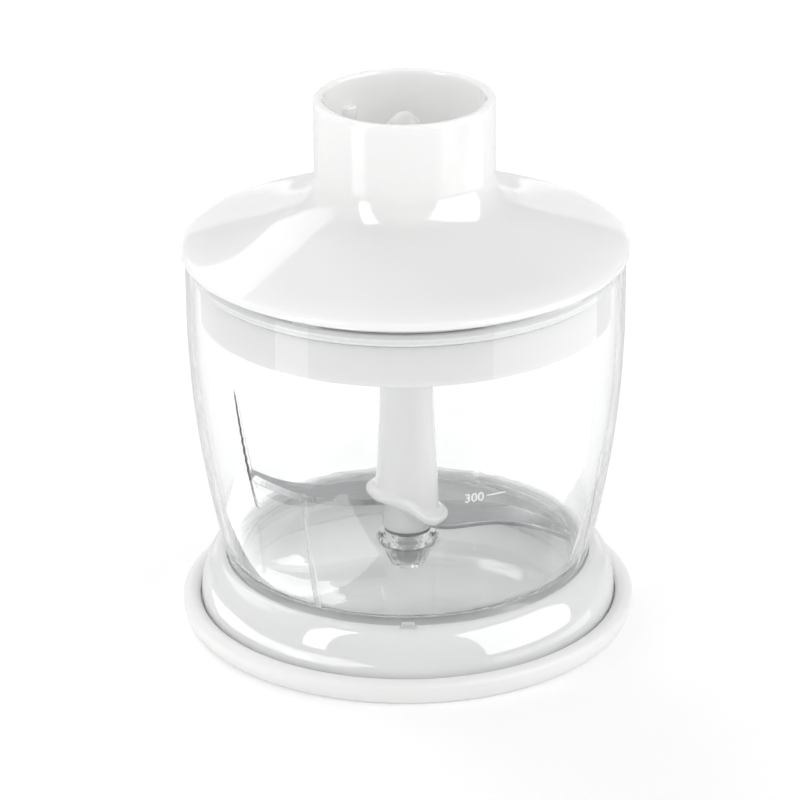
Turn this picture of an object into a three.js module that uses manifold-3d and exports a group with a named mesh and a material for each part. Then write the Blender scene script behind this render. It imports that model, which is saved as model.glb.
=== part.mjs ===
// Mini chopper for a hand blender: base with a soft foot ring, clear bowl, blade unit and geared lid.
// Millimetres, +Z up. The origin is the centre of the face that the chopper stands on.
// The lid holds a planetary reduction: the motor turns the sun gear, the carrier turns the blades.
import * as THREE from 'three';
import { mergeVertices } from 'three/addons/utils/BufferGeometryUtils.js';
import Module from 'manifold-3d';

// ---- Fits ----
const GAP = 0.3; // between pieces that touch or are pressed together
const RUN = 0.4; // beside pieces that turn on each other

// ---- Base ----
const UNDERSIDE_RECESS = 2.6; // base floor above the table
const BASE_FLOOR = 2; // floor thickness
const BASE_WALL = 2; // shoulder thickness
const BASE_H = 18; // table to the top of the collar
const COLLAR_GAP = 0.6; // collar to bowl
const COLLAR_EDGE = 1; // width of the collar's top
const SHOULDER_W = 6; // collar to the foot ring, seen from above
const SHOULDER_FOOT_Z = 5.5; // where the shoulder leaves the foot ring
const FLANGE_W = 2.2; // flange inside the foot ring
const FLANGE_T = 1.6;
const FOOT_SKIN = 2.3; // foot ring outside the flange
const FOOT_PAD_W = 5; // face that stands on the table
const FOOT_CROWN = 1.1; // crown of the foot ring above the shoulder's foot

// ---- Bowl ----
const BOWL_H = 100.4; // foot to rim
const BOWL_RIM_R = 58.9; // outside, at the rim
const BOWL_FOOT_R = 48.8; // outside, at the foot
const BOWL_WALL = 2.2;
const BOWL_FOOT_H = 10.1; // straight foot below the curved wall
const BOWL_STRAIGHT_H = 15.3; // straight wall below the rim
const BOWL_FLOOR_H = 13.3; // foot to the floor's edge, inside
const BOWL_FLOOR_RISE = 3.4; // floor's centre above its edge
const BOWL_FILLET = 4;
const RIM_CHAMFER = 0.6;
const RIB_ANGLES = [65, 153, 240.5, 339]; // degrees from +X
const RIB_H = 37; // above the floor's edge
const RIB_DEPTH = 1.8; // at the floor
const RIB_TIP_DEPTH = 0.6; // at the top
const RIB_W = 2.2; // at the floor
const RIB_TIP_W = 0.9; // at the top
const KEY_W = 3.6; // keys that stop the bowl turning in the collar
const KEY_OUT = 1.6; // key beyond the bowl wall
const KEY_H = 2.8;
const KEY_GAP = 0.5;
const KEY_PROUD = 0.9; // key above the collar

// ---- Pin, boss and blade unit ----
const PIN_R = 3;
const PIN_H = 46; // above the boss's bottom
const BOSS_TOP_R = 7.3;
const BOSS_TIP_R = 4.4;
const BOSS_DROP = 7.9; // below the underside of the floor
const BOSS_FLOOR = 1.6; // under the pin
const THRUST_COLLAR_W = 4.7; // round the pin, on the bowl's floor
const WASHER_W = 3;
const THRUST_COLLAR_H = 1.4;
const WASHER_T = 0.9;
const BUSH_WALL = 1; // hub bushing
const BUSH_H = 9;
const HUB_R = 7.2; // below the lip
const HUB_NECK_R = 8.6; // just above the lip
const SHAFT_R = 7.3; // near the lid
const SHAFT_TAPER_H = 36; // hub bottom to the end of the taper
const LIP_R = 11.3; // at the ears
const LIP_FLAT_R = 9.8; // between the ears
const LIP_T = 3.7;
const LIP_H = 5.3; // hub bottom to the lip's underside, halfway along its slope
const LIP_SWING = 3.9; // the lip climbs and drops this much
const LIP_TURN = 17; // degrees that the slope is turned from the X axis
const LIP_SHARPNESS = 2.2; // how suddenly the lip drops
const HEX_FLATS = 9.6; // drive end, across flats
const HEX_H = 8.4;
const BLADE_T = 1.2;
const BLADE_UPPER_H = 9.5; // hub bottom to the upper wing's middle
const BLADE_LOWER_H = 2.8; // hub bottom to the lower wing's middle
const BLADE_LOWER_PITCH = 1.6; // one edge above the other
const BLADE_TIP_GAP = 1.5; // wing tip to the ribs
const BLADE_ROOT_LAP = 1.2; // wing root to the hub bushing
// Wing edges beyond the hub, as shares of the tip radius, on a wing that points along +X.
const WING_LEAD = [[0.396, 0.159], [0.63, 0.086], [0.804, -0.062], [0.92, -0.194], [0.95, -0.312]];
const WING_TRAIL = [[0.245, -0.15], [0.512, -0.09], [0.746, -0.155], [0.933, -0.309]];
const WING_ROOT_Y = [7, -5.6]; // root corners, lead and trail

// ---- Lid ----
const LID_OVERHANG = 1.1; // lid rim beyond the bowl
const LID_WALL = 2.2;
const LID_EDGE_T = 1.9; // thickness of the rim
const NECK_R = 24.1;
const NECK_WALL = 2.4;
const NECK_TOP = 42.4; // rim's underside to the neck's top
const NECK_FOOT = 22.4; // rim's underside to the end of the fillet
const DOME_SPREAD = 15.4; // the dome's shallow part, in from the rim
const DOME_SWELL = 5; // its rise over that width
const FILLET_DEPTH = 11; // the dome's steep part, below the neck's foot
const EDGE_ROUND = 0.6;
const SOCKET_FLOOR_T = 2.5;
const SKIRT_GAP = 1.7; // skirt to bowl
const SKIRT_T = 2;
const SKIRT_DROP = 17.2; // rim's underside to the skirt's bottom
const SKIRT_RISE = 0.8; // skirt's top below the rim's underside
const PLATE_T = 2.5;
const PLATE_DROP = 7.6; // rim's underside to the plate's bottom
const SEAL_DEPTH = 0.8; // groove in the skirt
const SEAL_H = 3.6;
const SEAL_DROP = 2.4; // rim's underside to the seal's top
const SCREW_COUNT = 4;
const SCREW_RING_R = 38;
const SCREW_R = 1.4;
const SCREW_L = 10;
const SCREW_HEAD_R = 3;
const SCREW_HEAD_H = 2;
const SCREW_BOSS_R = 4;
const LUG_COUNT = 2; // lugs inside the neck, for the motor handle
const LUG_ANGLE = 134;
const LUG_W = 4;
const LUG_H = 5;
const LUG_OUT = 1.5;
const LUG_DROP = 8; // below the neck's top

// ---- Gear train ----
const TOOTH = 1; // module
const SUN_TEETH = 12;
const PLANET_TEETH = 12;
const PLANETS = 3;
const ADDENDUM = 0.8;
const DEDENDUM = 1.05;
const BACKLASH = 0.3;
const PRESSURE_ANGLE = 20; // degrees
const GEAR_W = 7; // face width
const GEAR_RIM = 2.15; // ring gear outside its tooth roots
const POCKET_WALL = 2.4; // lid wall round the ring gear
const RING_KEYS = 3;
const RING_KEY_W = 5;
const RING_KEY_OUT = 1.1;
const CARRIER_T = 3;
const CARRIER_HUB_R = 9;
const SOCKET_L = 8.5; // hexagonal socket in the carrier's hub
const PLANET_PIN_R = 1.8;
const SUN_SHAFT_R = 3.6;
const BUSHING_WALL = 1.9;
const BUSHING_FLANGE_W = 1.8;
const BUSHING_FLANGE_T = 1.3;
const CLIP_T = 1;
const CLIP_W = 2.4;
const COUPLING_R = 5.6;
const COUPLING_GROOVE = 1.2; // depth between the splines
const SPLINES = 6;
const COUPLING_TIP_R = 1.9;
const COUPLING_DROP = 4.5; // tip below the neck's top
const COUPLING_CONE_H = 6;
const COUPLING_GRIP = 12; // length of shaft inside the coupling
const CARRIER_EDGE = 2.4; // carrier plate beyond the planet pins
const CLIP_GROOVE = 0.6;
const PIN_SEAT = 0.8; // carrier material under each planet pin
const CARRIER_WASHER_W = 4;

// ---- Roundness of the turned shapes ----
const ROUND_L = 32;
const ROUND_M = 20;
const ROUND_S = 12;

// ---- Places that follow from the sizes ----
const bowlZ = UNDERSIDE_RECESS + BASE_FLOOR + GAP;
const bowlRimZ = bowlZ + BOWL_H;
const bowlCurveZ = bowlZ + BOWL_FOOT_H;
const bowlStraightZ = bowlRimZ - BOWL_STRAIGHT_H;
const floorEdgeZ = bowlZ + BOWL_FLOOR_H;
const thrustZ = floorEdgeZ + BOWL_FLOOR_RISE + THRUST_COLLAR_H;
const washerZ = thrustZ + GAP;
const hubZ = washerZ + WASHER_T + GAP;
const boreR = PIN_R + RUN;
const bushR = boreR + BUSH_WALL;
const bossZ = floorEdgeZ - BOWL_WALL - BOSS_DROP + BOWL_FLOOR_RISE;
const pinTopZ = bossZ + BOSS_FLOOR + PIN_H;
const lidZ = bowlRimZ + GAP;
const lidR = BOWL_RIM_R + LID_OVERHANG;
const neckTopZ = lidZ + NECK_TOP;
const neckInnerR = NECK_R - NECK_WALL;
const skirtR = BOWL_RIM_R - BOWL_WALL - SKIRT_GAP;
const plateZ = lidZ - PLATE_DROP;
const plateTopZ = plateZ + PLATE_T;
const sunPitchR = (TOOTH * SUN_TEETH) / 2;
const planetPitchR = (TOOTH * PLANET_TEETH) / 2;
const planetRingR = sunPitchR + planetPitchR;
const ringTeeth = SUN_TEETH + 2 * PLANET_TEETH;
const ringOuterR = (TOOTH * ringTeeth) / 2 + TOOTH * DEDENDUM + GEAR_RIM;
const carrierWasherZ = plateTopZ + GAP;
const carrierZ = carrierWasherZ + WASHER_T + GAP;
const carrierTopZ = carrierZ + CARRIER_T;
const gearZ = carrierTopZ + RUN;
const gearTopZ = gearZ + GEAR_W;
const pocketTopZ = gearTopZ + RUN + GAP;
const socketFloorZ = pocketTopZ + SOCKET_FLOOR_T;
const carrierHubZ = carrierTopZ - CARRIER_T + GAP - SOCKET_L;
const hexTopZ = carrierHubZ + SOCKET_L - 2 * RUN;
const shaftTopZ = hexTopZ - HEX_H;
const inputBushR = SUN_SHAFT_R + RUN + BUSHING_WALL;
const outputBushR = CARRIER_HUB_R + RUN + BUSHING_WALL;
const clipZ = socketFloorZ + BUSHING_FLANGE_T + 2 * GAP;
const couplingZ = clipZ + CLIP_T + GAP;

const wasm = await Module();
wasm.setup();

// ---- Colours and finishes ----
function finish(color, roughness, metalness = 0, opacity = 1) {
  return new THREE.MeshStandardMaterial({ color, roughness, metalness, opacity, transparent: opacity < 1 });
}
const whitePlastic = finish(0xf2f2f0, 0.18);
const basePlastic = finish(0xe6e7e7, 0.12);
const softPlastic = finish(0xf4f4f2, 0.55);
const clearPlastic = finish(0xf3f6f7, 0.05, 0, 0.3);
const bladeSteel = finish(0xb4b6b8, 0.25, 1);
const pinSteel = finish(0xc4c6c8, 0.2, 1);
const gearPlastic = finish(0xe9e4d2, 0.45);
const bushPlastic = finish(0x6d6f70, 0.5);
const bushBrass = finish(0xc8a35a, 0.35, 1);
const sealRubber = finish(0xe4e6e4, 0.6);

// ---- Geometry helpers ----
// Shared vertices are merged and empty triangles dropped.
function weld(geometry) {
  const bare = geometry.clone();
  bare.deleteAttribute('normal');
  bare.deleteAttribute('uv');
  const merged = mergeVertices(bare, 1e-4);
  const index = merged.index.array;
  const kept = [];
  for (let i = 0; i < index.length; i += 3) {
    const [a, b, c] = [index[i], index[i + 1], index[i + 2]];
    if (a !== b && b !== c && c !== a) kept.push(a, b, c);
  }
  merged.setIndex(kept);
  return merged;
}

function toSolid(geometry) {
  const welded = weld(geometry);
  const mesh = new wasm.Mesh({
    numProp: 3,
    vertProperties: Float32Array.from(welded.attributes.position.array),
    triVerts: Uint32Array.from(welded.index.array),
  });
  return new wasm.Manifold(mesh);
}

function toGeometry(solid) {
  const mesh = solid.getMesh();
  const geometry = new THREE.BufferGeometry();
  geometry.setAttribute('position', new THREE.BufferAttribute(mesh.vertProperties, 3));
  geometry.setIndex(new THREE.BufferAttribute(mesh.triVerts, 1));
  return geometry;
}

function join(geometry, ...others) {
  return toGeometry(others.reduce((solid, other) => solid.add(toSolid(other)), toSolid(geometry)));
}

function cut(geometry, ...cutters) {
  return toGeometry(cutters.reduce((solid, cutter) => solid.subtract(toSolid(cutter)), toSolid(geometry)));
}

function common(geometry, other) {
  return toGeometry(toSolid(geometry).intersect(toSolid(other)));
}

// Turns [radius, height] points about Z. The profile runs counter-clockwise, so that faces point out.
function lathe(profile, segments) {
  const points = profile.map(([r, z]) => new THREE.Vector2(r, z));
  const onAxis = profile[0][0] === 0 && profile.at(-1)[0] === 0;
  if (!onAxis) points.push(points[0].clone());
  return new THREE.LatheGeometry(points, segments).rotateX(Math.PI / 2);
}

// A ring or sleeve with a plain rectangular section.
function sleeve(innerR, outerR, z0, z1, segments) {
  return lathe([[innerR, z0], [outerR, z0], [outerR, z1], [innerR, z1]], segments);
}

function rod(radius, z0, z1, segments) {
  return lathe([[0, z0], [radius, z0], [radius, z1], [0, z1]], segments);
}

function box(x0, x1, y0, y1, z0, z1) {
  const geometry = new THREE.BoxGeometry(x1 - x0, y1 - y0, z1 - z0);
  return geometry.translate((x0 + x1) / 2, (y0 + y1) / 2, (z0 + z1) / 2);
}

function hexPrism(acrossFlats, z0, z1) {
  const radius = acrossFlats / 2 / Math.cos(Math.PI / 6);
  return rod(radius, z0, z1, 6);
}

// Points on an ellipse in the [radius, height] plane, from one angle to another in degrees.
function arc(centreR, centreZ, radiusR, radiusZ, from, to, steps) {
  return Array.from({ length: steps + 1 }, (_, i) => {
    const angle = THREE.MathUtils.degToRad(from + ((to - from) * i) / steps);
    return [centreR + radiusR * Math.cos(angle), centreZ + radiusZ * Math.sin(angle)];
  });
}

// Places a shape built at angle 0 at each of several even places round Z.
function around(count, firstAngle, build) {
  return Array.from({ length: count }, (_, i) => {
    const angle = THREE.MathUtils.degToRad(firstAngle + (360 * i) / count);
    return build().rotateZ(angle);
  });
}

function evenSteps(from, to, steps) {
  return Array.from({ length: steps + 1 }, (_, i) => from + ((to - from) * i) / steps);
}

// ---- Base ----
const collarR = bowlOuterR(BASE_H) + COLLAR_GAP;
const shoulderTopR = collarR + COLLAR_EDGE;
const shoulderFootR = shoulderTopR + SHOULDER_W;
const flangeR = shoulderFootR + FLANGE_W;
const footR = flangeR + GAP + FOOT_SKIN;

// Radius of the bowl's outside: a straight foot, a curve that opens out, a straight rim.
function bowlOuterR(z) {
  const share = THREE.MathUtils.clamp((z - bowlCurveZ) / (bowlStraightZ - bowlCurveZ), 0, 1);
  return BOWL_RIM_R - (BOWL_RIM_R - BOWL_FOOT_R) * (1 - share) ** 2;
}

function bowlInnerR(z) {
  return bowlOuterR(z) - BOWL_WALL;
}

function makeFootRing() {
  const groove = UNDERSIDE_RECESS - GAP;
  const grooveTop = UNDERSIDE_RECESS + FLANGE_T + GAP;
  const inner = shoulderFootR + GAP;
  return lathe([
    [footR - 1.4 - FOOT_PAD_W, 0],
    [footR - 1.4, 0],
    [footR - 0.7, 0.6],
    [footR - 0.1, SHOULDER_FOOT_Z / 2],
    [footR, SHOULDER_FOOT_Z - 0.4],
    [footR - 0.5, SHOULDER_FOOT_Z + 0.7],
    [(footR + inner) / 2 + 0.4, SHOULDER_FOOT_Z + FOOT_CROWN],
    [inner + 1, SHOULDER_FOOT_Z + FOOT_CROWN / 2],
    [inner, SHOULDER_FOOT_Z],
    [inner, grooveTop],
    [flangeR + GAP, grooveTop],
    [flangeR + GAP, groove],
    [footR - 1.4 - FOOT_PAD_W, groove],
  ], ROUND_L);
}

function makeBaseBody() {
  const floorTop = UNDERSIDE_RECESS + BASE_FLOOR;
  const shoulderRise = BASE_H - SHOULDER_FOOT_Z;
  const shell = lathe([
    [0, UNDERSIDE_RECESS],
    [flangeR, UNDERSIDE_RECESS],
    [flangeR, UNDERSIDE_RECESS + FLANGE_T],
    [shoulderFootR, UNDERSIDE_RECESS + FLANGE_T],
    ...arc(shoulderTopR, SHOULDER_FOOT_Z, SHOULDER_W, shoulderRise, 0, 90, 7),
    [collarR, BASE_H],
    ...arc(collarR, SHOULDER_FOOT_Z, SHOULDER_W + COLLAR_EDGE - BASE_WALL, shoulderRise - BASE_WALL, 90, 0, 5),
    [shoulderFootR - BASE_WALL, floorTop],
    [0, floorTop],
  ], ROUND_L);
  const keyReach = KEY_OUT + KEY_GAP;
  const notch = () => box(
    bowlOuterR(bowlCurveZ) - 1, bowlOuterR(BASE_H) + keyReach,
    -KEY_W / 2 - KEY_GAP, KEY_W / 2 + KEY_GAP,
    BASE_H + KEY_PROUD - KEY_H - KEY_GAP, BASE_H + 1,
  );
  return cut(shell, ...around(2, 90, notch));
}

// ---- Bowl ----
function floorTopZ(r) {
  const share = r / bowlInnerR(floorEdgeZ);
  return floorEdgeZ + BOWL_FLOOR_RISE * (1 - share ** 2);
}

// A rib that follows the inside of the wall and thins towards its top.
function makeRib() {
  const steps = evenSteps(floorEdgeZ - BOWL_WALL / 2, floorEdgeZ + RIB_H, 5);
  const depthAt = (z) => THREE.MathUtils.mapLinear(z, steps[0], steps.at(-1), RIB_DEPTH, RIB_TIP_DEPTH);
  const wallSide = steps.map((z) => new THREE.Vector2(bowlInnerR(z) + BOWL_WALL / 2, z));
  const freeSide = steps.map((z) => new THREE.Vector2(bowlInnerR(z) - depthAt(z), z)).reverse();
  const shape = new THREE.Shape([...wallSide, ...freeSide]);
  const rib = new THREE.ExtrudeGeometry(shape, { depth: 1, bevelEnabled: false });
  rib.translate(0, 0, -0.5).rotateX(Math.PI / 2);
  const position = rib.attributes.position;
  for (let i = 0; i < position.count; i += 1) {
    const width = THREE.MathUtils.mapLinear(position.getZ(i), steps[0], steps.at(-1), RIB_W, RIB_TIP_W);
    position.setY(i, position.getY(i) * width);
  }
  return rib;
}

function makeBowl() {
  const innerFilletR = bowlInnerR(floorEdgeZ) - BOWL_FILLET;
  const wallSteps = evenSteps(bowlCurveZ, bowlStraightZ, 6);
  const innerSteps = evenSteps(floorEdgeZ + BOWL_FILLET, bowlStraightZ, 6);
  const floorSteps = evenSteps(innerFilletR, boreR + THRUST_COLLAR_W + 2, 3);
  const footInnerR = BOWL_FOOT_R - BOWL_WALL;
  const profile = [
    [0, bossZ],
    [BOSS_TIP_R, bossZ],
    [BOSS_TOP_R, floorTopZ(BOSS_TOP_R) - BOWL_WALL],
    ...evenSteps(BOSS_TOP_R + 8, footInnerR, 2).map((r) => [r, floorTopZ(r) - BOWL_WALL]),
    [footInnerR, bowlZ],
    [BOWL_FOOT_R, bowlZ],
    ...wallSteps.map((z) => [bowlOuterR(z), z]),
    [BOWL_RIM_R, bowlRimZ - RIM_CHAMFER],
    [BOWL_RIM_R - RIM_CHAMFER, bowlRimZ],
    [BOWL_RIM_R - BOWL_WALL + RIM_CHAMFER / 2, bowlRimZ],
    [BOWL_RIM_R - BOWL_WALL, bowlRimZ - RIM_CHAMFER],
    ...innerSteps.map((z) => [bowlInnerR(z), z]).reverse(),
    [innerFilletR + BOWL_FILLET * 0.7, floorEdgeZ + BOWL_FILLET * 0.3],
    ...floorSteps.map((r) => [r, floorTopZ(r)]),
    [boreR + THRUST_COLLAR_W, floorTopZ(0)],
    [boreR + THRUST_COLLAR_W, thrustZ],
    [PIN_R + GAP, thrustZ],
    [PIN_R + GAP, bossZ + BOSS_FLOOR],
    [0, bossZ + BOSS_FLOOR],
  ];
  const key = () => box(
    bowlInnerR(BASE_H) + BOWL_WALL / 2, bowlOuterR(BASE_H) + KEY_OUT,
    -KEY_W / 2, KEY_W / 2,
    BASE_H + KEY_PROUD - KEY_H, BASE_H + KEY_PROUD,
  );
  return join(lathe(profile, ROUND_L), ...RIB_ANGLES.map((angle) => around(1, angle, makeRib)[0]), ...around(2, 90, key));
}

// ---- Pin and blade unit ----
function makeBowlPin() {
  const bottom = bossZ + BOSS_FLOOR + GAP;
  return lathe([[0, bottom], [PIN_R, bottom], [PIN_R, pinTopZ - 1.5], [PIN_R - 1.2, pinTopZ], [0, pinTopZ]], ROUND_S);
}

// Height of the lip above its mean, by angle round the hub.
function lipClimb(angle) {
  const turn = THREE.MathUtils.degToRad(LIP_TURN);
  return (-LIP_SWING * Math.tanh(LIP_SHARPNESS * Math.cos(angle - turn))) / Math.tanh(LIP_SHARPNESS);
}

// Slopes the lip and draws it in between its two ears.
function slopeLip(geometry) {
  const lipZ = hubZ + LIP_H;
  const position = geometry.attributes.position;
  for (let i = 0; i < position.count; i += 1) {
    const [x, y, z] = [position.getX(i), position.getY(i), position.getZ(i)];
    const radius = Math.hypot(x, y);
    if (radius < bushR + GAP + 0.1) continue;
    const angle = Math.atan2(y, x);
    const below = THREE.MathUtils.smoothstep(z, hubZ, lipZ - 0.5);
    const above = 1 - THREE.MathUtils.smoothstep(z, lipZ + LIP_T, lipZ + LIP_T + 2.5 * LIP_SWING);
    position.setZ(i, z + lipClimb(angle) * below * above);
    const ear = Math.cos(angle) ** 2;
    const reach = HUB_NECK_R + (LIP_FLAT_R - HUB_NECK_R + (LIP_R - LIP_FLAT_R) * ear)
      * ((radius - HUB_NECK_R) / (LIP_R - HUB_NECK_R));
    const drawn = radius > HUB_NECK_R ? reach : radius;
    position.setX(i, (x / radius) * drawn);
    position.setY(i, (y / radius) * drawn);
  }
  return geometry;
}

// One wing along +X: a flat strip between its two edges. The cutter for its slot is grown on all sides.
function makeWing(middleZ, pitch, grow = 0) {
  const reach = bowlInnerR(hubZ + BLADE_LOWER_H) - RIB_DEPTH - BLADE_TIP_GAP;
  const rootX = bushR + GAP + BLADE_ROOT_LAP - grow;
  const edge = (rootY, shares) => new THREE.SplineCurve([
    new THREE.Vector2(rootX, rootY),
    ...shares.map(([x, y]) => new THREE.Vector2(x * reach, y * reach)),
  ]);
  const lead = edge(WING_ROOT_Y[0], WING_LEAD);
  const trail = edge(WING_ROOT_Y[1], WING_TRAIL);
  const half = BLADE_T / 2 + grow;
  const corners = [];
  const stations = evenSteps(0, 1, 10);
  for (const share of stations) {
    const front = lead.getPointAt(share);
    const back = trail.getPointAt(share);
    const outward = front.clone().sub(back).normalize().multiplyScalar(grow);
    front.add(outward);
    back.sub(outward);
    corners.push(front.x, front.y, middleZ + pitch / 2 + half, front.x, front.y, middleZ + pitch / 2 - half);
    corners.push(back.x, back.y, middleZ - pitch / 2 - half, back.x, back.y, middleZ - pitch / 2 + half);
  }
  const index = [0, 1, 2, 0, 2, 3];
  for (let i = 0; i < stations.length - 1; i += 1) {
    for (let side = 0; side < 4; side += 1) {
      const [a, b] = [4 * i + side, 4 * i + ((side + 1) % 4)];
      index.push(a, b + 4, b, a, a + 4, b + 4);
    }
  }
  const last = 4 * (stations.length - 1);
  index.push(last, last + 2, last + 1, last, last + 3, last + 2);
  const geometry = new THREE.BufferGeometry();
  geometry.setAttribute('position', new THREE.Float32BufferAttribute(corners, 3));
  geometry.setIndex(index);
  return geometry;
}

function makeBladeShaft() {
  const lipZ = hubZ + LIP_H;
  const bushTop = hubZ + BUSH_H + GAP;
  const body = lathe([
    [bushR + GAP, hubZ],
    [HUB_R - 0.4, hubZ],
    [HUB_R, hubZ + 0.5],
    [HUB_R + 0.2, lipZ - 0.3],
    [HUB_NECK_R + 0.6, lipZ],
    [LIP_R - 0.5, lipZ + 0.25 * LIP_T],
    [LIP_R, lipZ + 0.45 * LIP_T],
    [LIP_R - 0.4, lipZ + 0.65 * LIP_T],
    [HUB_NECK_R + 0.6, lipZ + 0.9 * LIP_T],
    [HUB_NECK_R + 0.1, lipZ + 1.1 * LIP_T],
    [HUB_NECK_R, lipZ + 1.6 * LIP_T],
    [HUB_NECK_R - 0.2, lipZ + 2.4 * LIP_T],
    [HUB_NECK_R - 0.4, lipZ + 3.4 * LIP_T],
    [SHAFT_R, hubZ + SHAFT_TAPER_H],
    [SHAFT_R, shaftTopZ - 0.5],
    [SHAFT_R - 0.5, shaftTopZ],
    [0, shaftTopZ],
    [0, pinTopZ + RUN],
    [boreR, pinTopZ + RUN],
    [boreR, bushTop],
    [bushR + GAP, bushTop],
    [bushR + GAP, hubZ],
  ], ROUND_M);
  const drive = hexPrism(HEX_FLATS, shaftTopZ - 1, hexTopZ);
  const slots = [upperWing(GAP), lowerWing(GAP)];
  return cut(join(slopeLip(body), drive), ...slots);
}

function upperWing(grow) {
  return makeWing(hubZ + BLADE_UPPER_H, 0, grow).rotateZ(Math.PI);
}

function lowerWing(grow) {
  return makeWing(hubZ + BLADE_LOWER_H, BLADE_LOWER_PITCH, grow);
}

// ---- Lid ----
// The outside of the dome, from the rim to the foot of the neck.
const domeCurve = new THREE.CubicBezierCurve(
  new THREE.Vector2(lidR - EDGE_ROUND, lidZ + LID_EDGE_T),
  new THREE.Vector2(lidR - DOME_SPREAD, lidZ + LID_EDGE_T + DOME_SWELL),
  new THREE.Vector2(NECK_R, lidZ + NECK_FOOT - FILLET_DEPTH),
  new THREE.Vector2(NECK_R, lidZ + NECK_FOOT),
);

// The dome's curve moved in by a depth, as [radius, height] points from the rim to the neck.
function domePoints(depth, steps) {
  return evenSteps(0, 1, steps).map((share) => {
    const point = domeCurve.getPoint(share);
    const tangent = domeCurve.getTangent(share);
    return [point.x - depth * tangent.y, point.y + depth * tangent.x];
  });
}

const pocketR = ringOuterR + GAP;
const pocketOuterR = pocketR + POCKET_WALL;
const pocketBottomZ = plateTopZ + GAP;

function makeLidCover() {
  const ceiling = domePoints(LID_WALL, 7).filter(([r]) => r > pocketOuterR + 1).reverse();
  const cover = lathe([
    [pocketR, pocketBottomZ],
    [pocketOuterR, pocketBottomZ],
    [pocketOuterR, ceiling[0][1]],
    ...ceiling.slice(0, -1),
    [skirtR + 1, lidZ + EDGE_ROUND],
    [skirtR + 1.3, lidZ],
    [lidR - EDGE_ROUND, lidZ],
    [lidR, lidZ + EDGE_ROUND],
    [lidR, lidZ + LID_EDGE_T - EDGE_ROUND],
    ...domePoints(0, 8),
    [NECK_R, neckTopZ - EDGE_ROUND],
    [NECK_R - EDGE_ROUND / 2, neckTopZ],
    [neckInnerR + EDGE_ROUND / 2, neckTopZ],
    [neckInnerR, neckTopZ - EDGE_ROUND],
    [neckInnerR, socketFloorZ],
    [inputBushR + GAP, socketFloorZ],
    [inputBushR + GAP, pocketTopZ],
    [pocketR, pocketTopZ],
  ], ROUND_L);
  const underDome = lathe([
    [0, pocketBottomZ],
    [lidR - LID_WALL, pocketBottomZ],
    ...domePoints(LID_WALL / 2, 6),
    [0, lidZ + NECK_FOOT],
  ], ROUND_L);
  const boss = () => rod(SCREW_BOSS_R, pocketBottomZ, neckTopZ, ROUND_S).translate(SCREW_RING_R, 0, 0);
  const pilot = () => rod(SCREW_R + GAP, plateZ, screwTopZ + GAP, ROUND_S).translate(SCREW_RING_R, 0, 0);
  const bosses = around(SCREW_COUNT, 45, boss).map((post) => common(post, underDome));
  const lug = () => box(
    neckInnerR - LUG_OUT, neckInnerR + NECK_WALL / 2,
    -LUG_W / 2, LUG_W / 2,
    neckTopZ - LUG_DROP - LUG_H, neckTopZ - LUG_DROP,
  );
  const keyway = () => ringKey(GAP, pocketBottomZ - 1, gearTopZ + GAP);
  return cut(
    join(cover, ...bosses, ...around(LUG_COUNT, LUG_ANGLE, lug)),
    ...around(SCREW_COUNT, 45, pilot),
    ...around(RING_KEYS, 90, keyway),
  );
}

function makeUnderplate() {
  const skirtInnerR = skirtR - SKIRT_T;
  const skirtZ = lidZ - SKIRT_DROP;
  const sealTopZ = lidZ - SEAL_DROP;
  const collarInnerR = planetRingR + PLANET_PIN_R + CARRIER_EDGE + 2 * RUN;
  const holeR = outputBushR + GAP;
  const plate = lathe([
    [holeR, plateZ],
    [skirtInnerR, plateZ],
    [skirtInnerR, skirtZ],
    [skirtR - EDGE_ROUND / 2, skirtZ],
    [skirtR, skirtZ + EDGE_ROUND],
    [skirtR, sealTopZ - SEAL_H],
    [skirtR - SEAL_DEPTH, sealTopZ - SEAL_H],
    [skirtR - SEAL_DEPTH, sealTopZ],
    [skirtR, sealTopZ],
    [skirtR, lidZ - SKIRT_RISE],
    [skirtInnerR, lidZ - SKIRT_RISE],
    [skirtInnerR, plateTopZ],
    [ringOuterR, plateTopZ],
    [ringOuterR, gearZ - GAP],
    [collarInnerR, gearZ - GAP],
    [collarInnerR, plateTopZ],
    [holeR, plateTopZ],
  ], ROUND_L);
  const hole = () => rod(SCREW_R + GAP, plateZ - 1, plateTopZ + 1, ROUND_S).translate(SCREW_RING_R, 0, 0);
  return cut(plate, ...around(SCREW_COUNT, 45, hole));
}

function makeSeal() {
  const inner = skirtR - SEAL_DEPTH + GAP;
  const outer = BOWL_RIM_R - BOWL_WALL - GAP;
  const top = lidZ - SEAL_DROP - GAP;
  const bottom = lidZ - SEAL_DROP - SEAL_H + GAP;
  const lip = (top - bottom) * 0.3;
  return lathe([
    [inner, bottom],
    [skirtR + GAP, bottom],
    [outer, bottom + lip],
    [skirtR + 2 * GAP, (bottom + top) / 2],
    [outer, top - lip],
    [skirtR + GAP, top],
    [inner, top],
  ], ROUND_L);
}

const screwTopZ = plateZ - GAP + SCREW_L;

function makeLidScrew() {
  const underHead = plateZ - GAP;
  return lathe([
    [0, underHead - SCREW_HEAD_H],
    [SCREW_HEAD_R - 0.8, underHead - SCREW_HEAD_H],
    [SCREW_HEAD_R, underHead - SCREW_HEAD_H / 2],
    [SCREW_HEAD_R, underHead],
    [SCREW_R, underHead],
    [SCREW_R, screwTopZ - 1],
    [0, screwTopZ],
  ], ROUND_S);
}

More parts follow.
